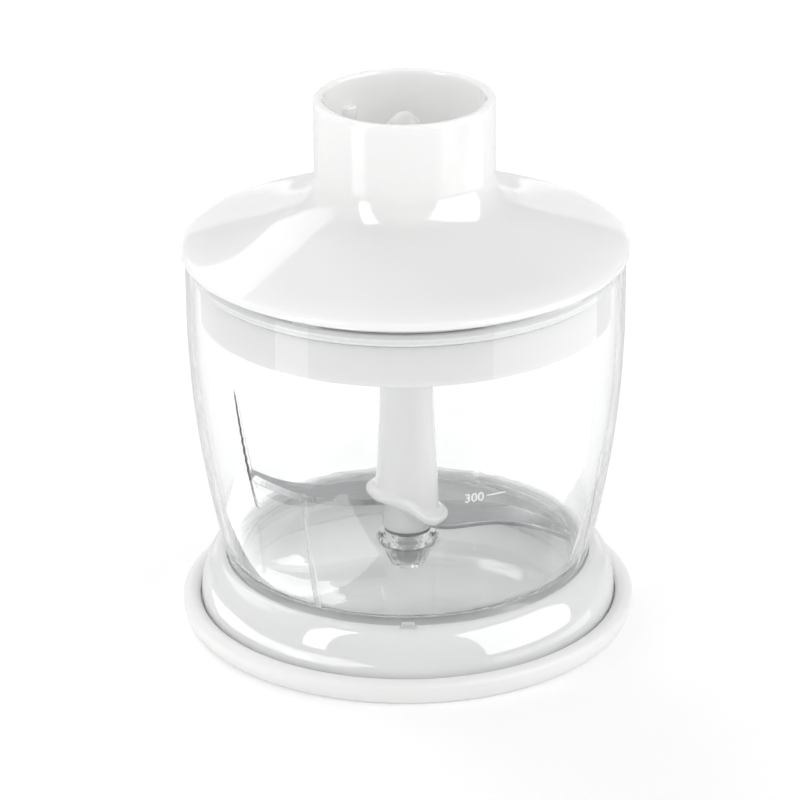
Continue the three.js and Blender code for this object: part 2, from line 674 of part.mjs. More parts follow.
// ---- Gear train ----
// Outline of a gear with involute flanks. One tooth points along +X. Negative slack widens the teeth,
// which makes the outline of the hole in an internal gear.
function gearOutline(teeth, addendum, dedendum, slack) {
  const pitchR = (TOOTH * teeth) / 2;
  const pressure = THREE.MathUtils.degToRad(PRESSURE_ANGLE);
  const baseR = pitchR * Math.cos(pressure);
  const involute = (angle) => Math.tan(angle) - angle;
  const halfTooth = (r) => {
    const angle = Math.acos(Math.min(1, baseR / r));
    return Math.PI / (2 * teeth) - slack / (2 * pitchR) + involute(pressure) - involute(angle);
  };
  const radii = [pitchR - TOOTH * dedendum, pitchR, pitchR + TOOTH * addendum];
  const points = [];
  for (let tooth = 0; tooth < teeth; tooth += 1) {
    const middle = (2 * Math.PI * tooth) / teeth;
    const place = (r, turn) => points.push(new THREE.Vector2(r * Math.cos(turn), r * Math.sin(turn)));
    for (const r of radii) place(r, middle - halfTooth(r));
    for (const r of radii.toReversed()) place(r, middle + halfTooth(r));
  }
  return points;
}

function circlePath(radius, segments) {
  const points = Array.from({ length: segments }, (_, i) => {
    const angle = (2 * Math.PI * i) / segments;
    return new THREE.Vector2(radius * Math.cos(angle), radius * Math.sin(angle));
  });
  return new THREE.Path(points);
}

function extrude(shape, z0, z1) {
  return new THREE.ExtrudeGeometry(shape, { depth: z1 - z0, bevelEnabled: false }).translate(0, 0, z0);
}

function ringKey(grow, z0, z1) {
  const half = RING_KEY_W / 2 + grow;
  return box(ringOuterR - 1, ringOuterR + RING_KEY_OUT + grow, -half, half, z0, z1);
}

function makeRingGear() {
  const shape = new THREE.Shape(circlePath(ringOuterR, ROUND_L).getPoints());
  const toothSpace = gearOutline(ringTeeth, DEDENDUM, ADDENDUM, -BACKLASH);
  shape.holes.push(new THREE.Path(toothSpace));
  const rim = extrude(shape, gearZ, gearTopZ).rotateZ(Math.PI / 2);
  return join(rim, ...around(RING_KEYS, 90, () => ringKey(0, gearZ, gearTopZ)));
}

function makePlanetGear() {
  const shape = new THREE.Shape(gearOutline(PLANET_TEETH, ADDENDUM, DEDENDUM, BACKLASH));
  shape.holes.push(circlePath(PLANET_PIN_R + RUN, ROUND_S));
  return extrude(shape, gearZ, gearTopZ);
}

function makePlanetPin() {
  const bottom = carrierZ + PIN_SEAT + GAP;
  const top = gearTopZ - GAP;
  return lathe([[0, bottom], [PLANET_PIN_R, bottom], [PLANET_PIN_R, top - 0.4],
    [PLANET_PIN_R - 0.4, top], [0, top]], ROUND_S);
}

function makeCarrier() {
  const plateR = planetRingR + PLANET_PIN_R + CARRIER_EDGE;
  const body = lathe([
    [0, carrierHubZ],
    [CARRIER_HUB_R - 0.4, carrierHubZ],
    [CARRIER_HUB_R, carrierHubZ + 0.4],
    [CARRIER_HUB_R, carrierZ],
    [plateR, carrierZ],
    [plateR, carrierTopZ],
    [0, carrierTopZ],
  ], ROUND_M);
  const socket = hexPrism(HEX_FLATS + 2 * RUN, carrierHubZ - 1, hexTopZ + 2 * RUN);
  const seat = () => rod(PLANET_PIN_R + GAP, carrierZ + PIN_SEAT, carrierTopZ + 1, ROUND_S).translate(planetRingR, 0, 0);
  return cut(body, socket, ...around(PLANETS, 90, seat));
}

function makeSunGear() {
  const gear = extrude(new THREE.Shape(gearOutline(SUN_TEETH, ADDENDUM, DEDENDUM, BACKLASH)), gearZ, gearTopZ);
  const grooveR = SUN_SHAFT_R - CLIP_GROOVE;
  const top = couplingZ + COUPLING_GRIP - GAP;
  const shaft = lathe([
    [0, gearTopZ - 1],
    [SUN_SHAFT_R, gearTopZ - 1],
    [SUN_SHAFT_R, clipZ - GAP],
    [grooveR, clipZ - GAP],
    [grooveR, clipZ + CLIP_T + GAP],
    [SUN_SHAFT_R, clipZ + CLIP_T + GAP],
    [SUN_SHAFT_R, top],
    [0, top],
  ], ROUND_S);
  return join(gear.rotateZ(Math.PI / 2 + Math.PI / SUN_TEETH), shaft);
}

function makeInputBushing() {
  const flangeZ = socketFloorZ + GAP;
  return lathe([
    [SUN_SHAFT_R + RUN, pocketTopZ],
    [inputBushR, pocketTopZ],
    [inputBushR, flangeZ],
    [inputBushR + BUSHING_FLANGE_W, flangeZ],
    [inputBushR + BUSHING_FLANGE_W, flangeZ + BUSHING_FLANGE_T],
    [SUN_SHAFT_R + RUN, flangeZ + BUSHING_FLANGE_T],
  ], ROUND_M);
}

function makeOutputBushing() {
  const flangeZ = plateZ - GAP;
  return lathe([
    [CARRIER_HUB_R + RUN, flangeZ - BUSHING_FLANGE_T],
    [outputBushR + BUSHING_FLANGE_W, flangeZ - BUSHING_FLANGE_T],
    [outputBushR + BUSHING_FLANGE_W, flangeZ],
    [outputBushR, flangeZ],
    [outputBushR, plateTopZ],
    [CARRIER_HUB_R + RUN, plateTopZ],
  ], ROUND_M);
}

function makeSunClip() {
  const mouth = Math.PI / 5;
  const inner = SUN_SHAFT_R - CLIP_GROOVE + GAP;
  const shape = new THREE.Shape();
  shape.absarc(0, 0, inner + CLIP_W, mouth, 2 * Math.PI - mouth, false);
  shape.absarc(0, 0, inner, 2 * Math.PI - mouth, mouth, true);
  const geometry = new THREE.ExtrudeGeometry(shape, { depth: CLIP_T, bevelEnabled: false, curveSegments: ROUND_S });
  return geometry.translate(0, 0, clipZ);
}

function makeCoupling() {
  const top = neckTopZ - COUPLING_DROP;
  const coneZ = top - COUPLING_CONE_H;
  const coreR = COUPLING_R - COUPLING_GROOVE;
  const outline = [];
  for (let i = 0; i < 4 * SPLINES; i += 1) {
    const r = i % 4 < 2 ? COUPLING_R : coreR;
    const angle = (2 * Math.PI * (i + 0.5)) / (4 * SPLINES);
    outline.push(new THREE.Vector2(r * Math.cos(angle), r * Math.sin(angle)));
  }
  const splines = extrude(new THREE.Shape(outline), couplingZ, coneZ);
  const cone = lathe([
    [0, coneZ - 1],
    [coreR - 0.2, coneZ - 1],
    [coreR - 0.2, coneZ + 0.5],
    [COUPLING_TIP_R, top - 0.5],
    [COUPLING_TIP_R - 0.6, top],
    [0, top],
  ], ROUND_M);
  const bore = rod(SUN_SHAFT_R + GAP, couplingZ - 1, couplingZ + COUPLING_GRIP, ROUND_S);
  return cut(join(splines, cone), bore);
}

// ---- Assembly ----
function piece(name, geometry, material) {
  const mesh = new THREE.Mesh(geometry, material);
  mesh.name = name;
  return mesh;
}

function assembly(...members) {
  const group = new THREE.Group();
  group.add(...members);
  return group;
}

// Repeated pieces, numbered from 1, each turned and placed at its angle on a ring.
function ringOf(name, count, firstAngle, radius, geometry, material) {
  return Array.from({ length: count }, (_, i) => {
    const angle = THREE.MathUtils.degToRad(firstAngle + (360 * i) / count);
    const mesh = piece(`${name}_${i + 1}`, geometry, material);
    mesh.position.set(radius * Math.cos(angle), radius * Math.sin(angle), 0);
    mesh.rotation.z = angle;
    return mesh;
  });
}

const base = assembly(
  piece('foot_ring', makeFootRing(), softPlastic),
  piece('base_body', makeBaseBody(), basePlastic),
);

const bowl = assembly(
  piece('bowl', makeBowl(), clearPlastic),
  piece('bowl_pin', makeBowlPin(), pinSteel),
);

const bladeUnit = assembly(
  piece('thrust_washer', sleeve(boreR, boreR + WASHER_W, washerZ, washerZ + WASHER_T, ROUND_M), bushPlastic),
  piece('blade_shaft', makeBladeShaft(), whitePlastic),
  piece('hub_bushing', sleeve(boreR, bushR, hubZ, hubZ + BUSH_H, ROUND_S), bushBrass),
  piece('blade_upper', upperWing(0), bladeSteel),
  piece('blade_lower', lowerWing(0), bladeSteel),
);

const gearTrain = assembly(
  piece('ring_gear', makeRingGear(), gearPlastic),
  piece('planet_carrier', makeCarrier(), gearPlastic),
  piece('sun_gear', makeSunGear(), pinSteel),
  ...ringOf('planet_gear', PLANETS, 90, planetRingR, makePlanetGear(), gearPlastic),
  ...ringOf('planet_pin', PLANETS, 90, planetRingR, makePlanetPin(), pinSteel),
  piece('carrier_washer', sleeve(CARRIER_HUB_R + RUN, CARRIER_HUB_R + RUN + CARRIER_WASHER_W,
    carrierWasherZ, carrierWasherZ + WASHER_T, ROUND_M), bushPlastic),
  piece('input_bushing', makeInputBushing(), bushBrass),
  piece('output_bushing', makeOutputBushing(), bushPlastic),
  piece('sun_clip', makeSunClip(), pinSteel),
  piece('drive_coupling', makeCoupling(), whitePlastic),
);

const lid = assembly(
  piece('lid_cover', makeLidCover(), whitePlastic),
  piece('lid_underplate', makeUnderplate(), whitePlastic),
  piece('lid_seal', makeSeal(), sealRubber),
  ...ringOf('lid_screw', SCREW_COUNT, 45, SCREW_RING_R, makeLidScrew(), pinSteel),
  gearTrain,
);

export default assembly(base, assembly(bowl, bladeUnit, lid));
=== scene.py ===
"""Mini chopper for a hand blender: base, clear bowl, blade unit and geared lid, in metres, +Z up."""

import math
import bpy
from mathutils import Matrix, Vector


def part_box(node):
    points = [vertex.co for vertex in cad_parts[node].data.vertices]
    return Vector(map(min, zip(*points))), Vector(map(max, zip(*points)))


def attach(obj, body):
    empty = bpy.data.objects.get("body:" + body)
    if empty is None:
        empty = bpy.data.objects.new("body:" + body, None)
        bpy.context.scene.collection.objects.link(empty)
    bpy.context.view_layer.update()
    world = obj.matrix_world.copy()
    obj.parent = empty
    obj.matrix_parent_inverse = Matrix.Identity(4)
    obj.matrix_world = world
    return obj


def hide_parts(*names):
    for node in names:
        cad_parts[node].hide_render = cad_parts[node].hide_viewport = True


bl_info = {
    "name": "Mini chopper",
    "version": (1, 0, 0),
    "blender": (4, 5, 0),
    "location": "3D View > Sidebar > Chopper",
    "description": "Builds the pieces of a mini chopper round its working parts",
    "category": "Object",
}

import bmesh
import bpy
from bpy.props import FloatProperty, FloatVectorProperty, IntProperty, PointerProperty
from mathutils import Quaternion, Vector

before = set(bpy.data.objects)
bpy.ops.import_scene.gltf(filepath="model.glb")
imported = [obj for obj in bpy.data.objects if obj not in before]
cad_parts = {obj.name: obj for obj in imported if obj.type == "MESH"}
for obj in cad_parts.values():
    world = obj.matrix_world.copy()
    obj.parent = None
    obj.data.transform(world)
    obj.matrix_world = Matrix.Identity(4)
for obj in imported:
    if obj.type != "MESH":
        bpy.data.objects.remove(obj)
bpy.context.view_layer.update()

MM = 0.001
ROUND = 160  # faces round a large turned shape
ROUND_SMALL = 72  # faces round the shaft, the pin and the screws


def low(node):
    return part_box(node)[0]


def high(node):
    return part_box(node)[1]


# ---- Places taken from the frame ----
TABLE_RECESS = low("base_body").z
COLLAR_TOP = high("base_body").z
FLANGE_R = high("base_body").x
FOOT_R = high("foot_ring").x
RIM_R = high("bowl").x
RIM_Z = high("bowl").z
PIN_TOP = high("bowl_pin").z
PIN_LOW = low("bowl_pin").z
PIN_R = high("bowl_pin").x
HUB_Z = low("hub_bushing").z
BUSH_R = high("hub_bushing").x
BUSH_TOP = high("hub_bushing").z
HEX_TOP = high("blade_shaft").z
LID_R = high("lid_cover").x
NECK_TOP = high("lid_cover").z
POCKET_Z = low("lid_cover").z
SKIRT_R = high("lid_underplate").x
SKIRT_Z = low("lid_underplate").z
LID_Z = RIM_Z + 0.3 * MM
SKIRT_TOP = LID_Z - 0.8 * MM
BOWL_Z = RIM_Z - 100.4 * MM
FLOOR_EDGE_Z = BOWL_Z + 13.3 * MM
BOSS_Z = PIN_LOW - 1.9 * MM
BOSS_FLOOR_Z = BOSS_Z + 1.6 * MM  # under the pin
BORE_R = PIN_R + 0.4 * MM  # blade unit's bore
LIP_Z = HUB_Z + 5.3 * MM  # lip's underside, halfway along its slope

# ---- Sizes shared by pieces that fit together ----
FLANGE_T = 1.6 * MM
KEY_WIDTH = 3.6 * MM
KEY_HEIGHT = 2.8 * MM
KEY_OUT = 1.6 * MM  # beyond the bowl's wall
KEY_GAP = 0.5 * MM
KEY_LOW = COLLAR_TOP + 0.9 * MM - KEY_HEIGHT
KEY_ANGLES = (90, 270)
RIB_ANGLES = (65, 153, 240.5, 339)
RIB_GUIDE_R = 50 * MM
MARK_RELIEF = 0.08 * MM
LUG_ANGLES = (134, 314)
SCREW_THREADS = 7


# ---- Sizes and colours a user may change ----
def length(name, description, default):
    return FloatProperty(
        name=name, description=description, default=default, subtype="DISTANCE", unit="LENGTH"
    )


def angle_setting(name, description, degrees):
    return FloatProperty(
        name=name, description=description, default=math.radians(degrees), subtype="ANGLE"
    )


def strength(name, description, default):
    return FloatProperty(name=name, description=description, default=default, min=0)


def colour(name, description, default):
    return FloatVectorProperty(
        name=name, description=description, default=default, subtype="COLOR", min=0, max=1
    )


class ChopperBaseSettings(bpy.types.PropertyGroup):
    shoulder_width: length("Shoulder width", "Collar to foot ring, seen from above", 6 * MM)
    shoulder_foot: length("Shoulder foot", "Height at which the shoulder meets the foot ring", 5.5 * MM)
    wall: length("Wall", "Thickness of the base's shell", 2 * MM)
    pad_width: length("Pad width", "Width of the face that stands on the table", 5 * MM)
    body_colour: colour("Body colour", "Milky plastic of the base", (0.77, 0.775, 0.775))
    ring_colour: colour("Ring colour", "Soft plastic of the foot ring", (0.84, 0.84, 0.835))


class ChopperBowlSettings(bpy.types.PropertyGroup):
    wall: length("Wall", "Thickness of the bowl's wall", 2.2 * MM)
    foot_radius: length("Foot radius", "Outside radius at the foot", 48.8 * MM)
    foot_height: length("Foot height", "Straight foot below the curved wall", 10.1 * MM)
    straight_height: length("Straight height", "Straight wall below the rim", 15.3 * MM)
    floor_rise: length("Floor rise", "Middle of the floor above its edge", 3.4 * MM)
    fillet: length("Floor fillet", "Fillet between the floor and the wall", 4 * MM)
    rib_height: length("Rib height", "Top of the ribs above the floor's edge", 37 * MM)
    rib_depth: length("Rib depth", "Depth of a rib at the floor", 1.8 * MM)
    rib_width: length("Rib width", "Width of a rib at the floor", 2.2 * MM)
    mark_height: length("Mark height", "Level mark above the table", 57 * MM)
    tint: colour("Tint", "Colour of the clear plastic", (0.985, 0.988, 0.988))


class ChopperBladeSettings(bpy.types.PropertyGroup):
    lip_radius: length("Lip radius", "Radius of the lip at its ears", 11.3 * MM)
    lip_flat_radius: length("Lip flat radius", "Radius of the lip between its ears", 9.8 * MM)
    lip_thickness: length("Lip thickness", "Thickness of the lip", 3.7 * MM)
    lip_swing: length("Lip swing", "How far the lip climbs and drops", 3.9 * MM)
    neck_radius: length("Neck radius", "Shaft just above the lip", 8.6 * MM)
    shaft_radius: length("Shaft radius", "Shaft near the lid", 7.3 * MM)
    wing_thickness: length("Wing thickness", "Thickness of the steel", 1.2 * MM)
    wing_pitch: length("Wing pitch", "Lower wing's leading edge above its trailing edge", 1.6 * MM)
    grind_width: length("Grind width", "Width of the ground bevel", 1.5 * MM)
    plastic_colour: colour("Plastic colour", "Plastic of the shaft", (0.85, 0.85, 0.845))
    steel_colour: colour("Steel colour", "Steel of the wings", (0.40, 0.40, 0.41))


class ChopperLidSettings(bpy.types.PropertyGroup):
    neck_radius: length("Neck radius", "Outside radius of the neck", 24.1 * MM)
    neck_wall: length("Neck wall", "Thickness of the neck", 2.4 * MM)
    edge_thickness: length("Edge thickness", "Thickness of the lid's rim", 1.9 * MM)
    dome_spread: length("Dome spread", "Width of the dome's shallow part", 15.4 * MM)
    dome_swell: length("Dome swell", "Rise of the dome's shallow part", 5 * MM)
    skirt_wall: length("Skirt wall", "Thickness of the skirt", 2 * MM)
    cover_colour: colour("Cover colour", "Gloss plastic of the lid", (0.89, 0.89, 0.885))
    inner_colour: colour("Inner colour", "Plastic of the inner plate", (0.72, 0.72, 0.715))
    seal_colour: colour("Seal colour", "Rubber of the seal", (0.86, 0.865, 0.86))


class ChopperScrewSettings(bpy.types.PropertyGroup):
    count: IntProperty(name="Count", description="Screws in the inner plate", default=4, min=1, max=12)
    ring_radius: length("Ring radius", "Radius of the ring of screws", 38 * MM)
    first_angle: angle_setting("First angle", "Angle of the first screw", 45)


class ChopperStageSettings(bpy.types.PropertyGroup):
    elevation: angle_setting("Elevation", "Camera above the horizon", 23.32)
    roll: angle_setting("Roll", "Camera turned about its view", -0.407)
    distance: length("Distance", "Camera to the middle of the chopper", 1087.9 * MM)
    aim_height: length("Aim height", "Height the camera looks at", 61.18 * MM)
    focal_length: FloatProperty(
        name="Focal length", description="Lens in millimetres", default=180.56, min=20
    )
    sky: strength("Sky", "Strength of the white light overhead", 0.82)
    horizon: strength("Horizon", "Strength of the light at the horizon", 0.5)
    floor_glow: strength("Floor glow", "Light given by the floor itself", 0.12)


SETTINGS = {
    "chopper_base": ChopperBaseSettings,
    "chopper_bowl": ChopperBowlSettings,
    "chopper_blade": ChopperBladeSettings,
    "chopper_lid": ChopperLidSettings,
    "chopper_screws": ChopperScrewSettings,
    "chopper_stage": ChopperStageSettings,
}


# ---- Profiles ----
def rounded(corners, steps=6):
    """A closed profile whose (radius, height, fillet) corners are turned into curves."""
    points = []
    count = len(corners)
    for i, corner in enumerate(corners):
        here = Vector(corner[:2])
        fillet = corner[2] if len(corner) > 2 else 0
        before = Vector(corners[i - 1][:2]) - here
        after = Vector(corners[(i + 1) % count][:2]) - here
        if fillet <= 0 or before.length == 0 or after.length == 0:
            points.append(here)
            continue
        reach = min(fillet, 0.48 * before.length, 0.48 * after.length)
        start = here + before.normalized() * reach
        end = here + after.normalized() * reach
        points += curved(start, here, end, steps)
    return points


def near(r, z, *offsets):
    """Profile points, each given in millimetres from a radius and a height."""
    return [(r + across * MM, z + up * MM) for across, up in offsets]


def curved(start, corner, end, steps):
    """A curve from start to end that is pulled towards a corner."""
    return [start * (1 - t) ** 2 + corner * 2 * t * (1 - t) + end * t**2 for t in even(0, 1, steps)]


def even(start, stop, steps):
    return [start + (stop - start) * i / steps for i in range(steps + 1)]


def clamp01(value):
    return max(0.0, min(1.0, value))


def smooth(value, start, stop):
    """0 below start, 1 above stop and a smooth step between."""
    t = clamp01((value - start) / (stop - start))
    return t * t * (3 - 2 * t)


def quarter(centre_r, centre_z, radius_r, radius_z, start, stop, steps):
    """Points on an ellipse from one angle to another, in degrees."""
    return [
        (centre_r + radius_r * math.cos(math.radians(a)), centre_z + radius_z * math.sin(math.radians(a)))
        for a in even(start, stop, steps)
    ]


def bezier(a, b, c, d, steps):
    a, b, c, d = (Vector(point) for point in (a, b, c, d))
    return [
        a * (1 - t) ** 3 + b * 3 * t * (1 - t) ** 2 + c * 3 * t**2 * (1 - t) + d * t**3
        for t in even(0, 1, steps)
    ]


def moved_in(points, depth):
    """A curve moved sideways by a depth, to the left of its direction of travel."""
    moved = []
    for i, point in enumerate(points):
        along = (points[min(i + 1, len(points) - 1)] - points[max(i - 1, 0)]).normalized()
        moved.append(Vector((point.x - depth * along.y, point.y + depth * along.x)))
    return moved


def spline(points, count):
    """Even steps along a smooth curve through the points."""
    fine = []
    last = len(points) - 1
    for i in range(last):
        p0 = Vector(points[max(i - 1, 0)])
        p1 = Vector(points[i])
        p2 = Vector(points[i + 1])
        p3 = Vector(points[min(i + 2, last)])
        v0 = (p2 - p0) * 0.5
        v1 = (p3 - p1) * 0.5
        for t in even(0, 1, 40)[: None if i == last - 1 else -1]:
            cubic = (p1 * 2 - p2 * 2 + v0 + v1) * t**3
            square = (p2 * 3 - p1 * 3 - v0 * 2 - v1) * t**2
            fine.append(cubic + square + v0 * t + p1)
    travel = [0.0]
    for a, b in zip(fine, fine[1:]):
        travel.append(travel[-1] + (b - a).length)
    evenly = []
    k = 0
    for want in even(0, travel[-1], count):
        while k < len(travel) - 2 and travel[k + 1] < want:
            k += 1
        share = (want - travel[k]) / (travel[k + 1] - travel[k])
        evenly.append(fine[k].lerp(fine[k + 1], clamp01(share)))
    return evenly


# ---- Meshes ----
def braced(profile, reach=0.35 * MM):
    """Adds a point near each end of a long straight, so that smooth shading keeps it flat."""
    points = []
    for here, after in zip(profile, [*profile[1:], profile[0]]):
        here, after = Vector(here), Vector(after)
        points.append(here)
        along = after - here
        if along.length > 5 * reach and here.x + after.x > reach:
            step = along.normalized() * reach
            points += [here + step, after - step]
    return points


def turn(mesh, profile, segments=ROUND):
    """Turns a closed, counter-clockwise profile round Z and adds it to a mesh."""
    rings = []
    for r, z in braced(profile):
        if r < 1e-7:
            rings.append([mesh.verts.new((0, 0, z))])
            continue
        angles = (2 * math.pi * k / segments for k in range(segments))
        rings.append([mesh.verts.new((r * math.cos(a), r * math.sin(a), z)) for a in angles])
    for lower, upper in zip(rings, rings[1:] + rings[:1]):
        bridge(mesh, lower, upper, segments)
    return mesh


def bridge(mesh, lower, upper, segments):
    """Faces between two rings of vertices, either of which may be a single point."""
    for k in range(segments):
        n = (k + 1) % segments
        around = (lower[k % len(lower)], lower[n % len(lower)], upper[n % len(upper)], upper[k % len(upper)])
        corners = list(dict.fromkeys(around))
        if len(corners) > 2:
            mesh.faces.new(corners)


def loft(mesh, sections):
    """A closed solid through sections that have the same number of points."""
    rings = [[mesh.verts.new(point) for point in section] for section in sections]
    for lower, upper in zip(rings, rings[1:]):
        bridge(mesh, lower, upper, len(lower))
    mesh.faces.new(rings[0][::-1])
    mesh.faces.new(rings[-1])
    bmesh.ops.recalc_face_normals(mesh, faces=mesh.faces)
    return mesh


def block(mesh, centre, size, bevel, angle=0.0):
    """A box with rounded edges, turned about Z."""
    made = bmesh.ops.create_cube(mesh, size=1)["verts"]
    for vertex in made:
        vertex.co = Vector(centre) + Vector(v * s for v, s in zip(vertex.co, size))
    edges = list({edge for vertex in made for edge in vertex.link_edges})
    bevelled = bmesh.ops.bevel(mesh, geom=edges, offset=bevel, segments=3, affect="EDGES", profile=0.5)
    grown = {v for face in bevelled["faces"] for v in face.verts} | {v for v in made if v.is_valid}
    cosine, sine = math.cos(angle), math.sin(angle)
    for vertex in grown:
        x, y, z = vertex.co
        vertex.co = (x * cosine - y * sine, x * sine + y * cosine, z)
    return mesh


def to_object(name, mesh, crease=35):
    """A new object at the origin from a finished bmesh."""
    data = bpy.data.meshes.new(name)
    mesh.to_mesh(data)
    mesh.free()
    made = bpy.data.objects.new(name, data)
    bpy.context.scene.collection.objects.link(made)
    shade(data, crease)
    return made


def shade(data, crease):
    data.shade_smooth()
    data.set_sharp_from_angle(angle=math.radians(crease))


def plain(made):
    """Replaces an object's mesh with what its modifiers make, and removes them."""
    graph = bpy.context.evaluated_depsgraph_get()
    graph.update()
    data = bpy.data.meshes.new_from_object(made.evaluated_get(graph), depsgraph=graph)
    data.name = made.name
    made.modifiers.clear()
    made.data = data
    return made


def combine(made, tool, operation):
    """Joins or cuts an object with another, which is then removed."""
    modifier = made.modifiers.new(operation.title(), "BOOLEAN")
    modifier.operation = operation
    modifier.solver = "EXACT"
    modifier.object = tool
    plain(made)
    bpy.data.objects.remove(tool)
    return made


def settle(made, body, slot, finish, *nodes, crease=35):
    """Gives a piece its finish and its place among the bodies."""
    made.data.materials.clear()
    made.data.materials.append(finish)
    shade(made.data, crease)
    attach(made, body)
    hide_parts(*nodes)
    return made


# ---- Shader building ----
class Value:
    """A shader socket that takes part in Python arithmetic."""

    def __init__(self, finish, socket):
        self.finish = finish
        self.socket = socket

    def maths(self, operation, *values):
        return self.finish.add("ShaderNodeMath", {"operation": operation}, dict(enumerate(values)))

    def __add__(self, other):
        return self.maths("ADD", self, other)

    def __radd__(self, other):
        return self.maths("ADD", other, self)

    def __sub__(self, other):
        return self.maths("SUBTRACT", self, other)

    def __rsub__(self, other):
        return self.maths("SUBTRACT", other, self)

    def __mul__(self, other):
        return self.maths("MULTIPLY", self, other)

    def __rmul__(self, other):
        return self.maths("MULTIPLY", other, self)

    def stepped(self, start, stop):
        """0 below start, 1 above stop."""
        return self.finish.add(
            "ShaderNodeMapRange",
            {"interpolation_type": "SMOOTHSTEP"},
            {"Value": self, "From Min": start, "From Max": stop},
        )


class Finish:
    """A node material, or a sky, in the making."""

    def __init__(self, name, owner=None, output="ShaderNodeOutputMaterial"):
        self.material = owner or bpy.data.materials.new(name)
        self.material.use_nodes = True
        self.tree = self.material.node_tree
        self.tree.nodes.clear()
        self.out = self.tree.nodes.new(output)

    def add(self, kind, settings=None, inputs=None, output=0):
        """A node of a kind, with its settings set first, then its sockets. Returns one of its outputs."""
        node = self.tree.nodes.new(kind)
        for key, value in (settings or {}).items():
            setattr(node, key, value)
        for key, value in (inputs or {}).items():
            if isinstance(value, Value):
                self.tree.links.new(value.socket, node.inputs[key])
            else:
                node.inputs[key].default_value = value
        return Value(self, node.outputs[output])

    def place(self, scale=(1, 1, 1), turned=(0, 0, 0)):
        """The piece's own coordinates, scaled and turned."""
        own = self.add("ShaderNodeTexCoord", output="Object")
        return self.add("ShaderNodeMapping", {}, {"Vector": own, "Scale": scale, "Rotation": turned})

    def noise(self, place, scale, detail=2.0, rough=0.5):
        return self.add(
            "ShaderNodeTexNoise", {}, {"Vector": place, "Scale": scale, "Detail": detail, "Roughness": rough}
        )

    def blend(self, share, first, second):
        """Two colours mixed by a share."""
        return self.add(
            "ShaderNodeMix", {"data_type": "RGBA"}, {0: share, 6: first, 7: second}, output=2
        )

    def bump(self, height, depth, strength=1.0):
        return self.add("ShaderNodeBump", {}, {"Strength": strength, "Distance": depth, "Height": height})

    def surface(self, **sockets):
        """A Principled shader. Underscores in the names stand for spaces."""
        inputs = {key.replace("_", " "): value for key, value in sockets.items()}
        return self.add("ShaderNodeBsdfPrincipled", {}, inputs)

    def done(self, shader):
        self.tree.links.new(shader.socket, self.out.inputs["Surface"])
        return self.material


def opaque(shade_of):
    return (*shade_of, 1.0)


def lighter(shade_of, factor):
    return (*(min(1.0, channel * factor) for channel in shade_of), 1.0)


def moulded_plastic(name, shade_of, gloss=0.14, grain=0.000004, coat=0.0, scatter=0.0):
    """Moulded plastic: faint flow clouds in the colour, uneven polish and a very shallow grain."""
    made = Finish(name)
    place = made.place()
    clouds = made.noise(place, 28, 3)
    polish = made.noise(place, 120, 4, 0.6)
    grain_height = made.noise(place, 900, 2)
    shader = made.surface(
        Base_Color=made.blend(clouds, lighter(shade_of, 0.985), lighter(shade_of, 1.012)),
        Roughness=gloss * (0.8 + 0.4 * polish),
        Normal=made.bump(grain_height, grain, 0.6),
        Coat_Weight=coat,
        Coat_Roughness=0.04,
        Subsurface_Weight=scatter,
        Subsurface_Radius=(1.0, 1.0, 1.0),
        Subsurface_Scale=0.004,
        IOR=1.5,
    )
    return made.done(shader)


def soft_plastic(name, shade_of, scale=2600):
    """Soft moulded rubber: matte, with a fine spark-eroded grain."""
    made = Finish(name)
    place = made.place()
    pits = made.add("ShaderNodeTexVoronoi", {}, {"Vector": place, "Scale": scale})
    haze = made.noise(place, 60, 3)
    height = pits * 0.6 + made.noise(place, scale * 0.6, 3) * 0.6
    shader = made.surface(
        Base_Color=made.blend(haze, lighter(shade_of, 0.98), lighter(shade_of, 1.015)),
        Roughness=0.46 + 0.14 * haze,
        Normal=made.bump(height, 0.00003, 0.35),
        Sheen_Weight=0.08,
        IOR=1.45,
    )
    return made.done(shader)


def clear_plastic(name, tint):
    """Clear moulded plastic. Lamps and soft light pass straight through it, and most light does so
    inside the collar, where the foot is hidden."""
    made = Finish(name)
    place = made.place((1, 1, 0.25))
    flow = made.noise(place, 70, 2)
    wear = made.noise(made.place((1, 1, 6)), 420, 3, 0.65)
    glass = made.surface(
        Base_Color=made.blend(flow, opaque(tint), lighter(tint, 0.992)),
        Roughness=0.012 + 0.03 * wear.stepped(0.55, 0.8),
        Normal=made.bump(flow, 0.00012, 0.12),
        Transmission_Weight=1.0,
        IOR=1.22,
        Coat_Weight=0.7,
        Coat_Roughness=0.01,
    )
    shadow = made.add("ShaderNodeLightPath", output="Is Shadow Ray")
    soft_light = made.add("ShaderNodeLightPath", output="Is Diffuse Ray")
    open_air = made.add("ShaderNodeBsdfTransparent", {}, {"Color": lighter(tint, 0.995)})
    x, y, z = (made.add("ShaderNodeSeparateXYZ", {}, {0: made.place()}, axis) for axis in "XYZ")
    in_collar = 1 - z.stepped(COLLAR_TOP - 1.6 * MM, COLLAR_TOP)
    off_boss = (x * x + y * y).stepped((9 * MM) ** 2, (12 * MM) ** 2)
    share = shadow.maths("MAXIMUM", shadow, soft_light)
    share = share.maths("MAXIMUM", share, 0.7 * (in_collar * off_boss))
    return made.done(made.add("ShaderNodeMixShader", {}, {0: share, 1: glass, 2: open_air}))


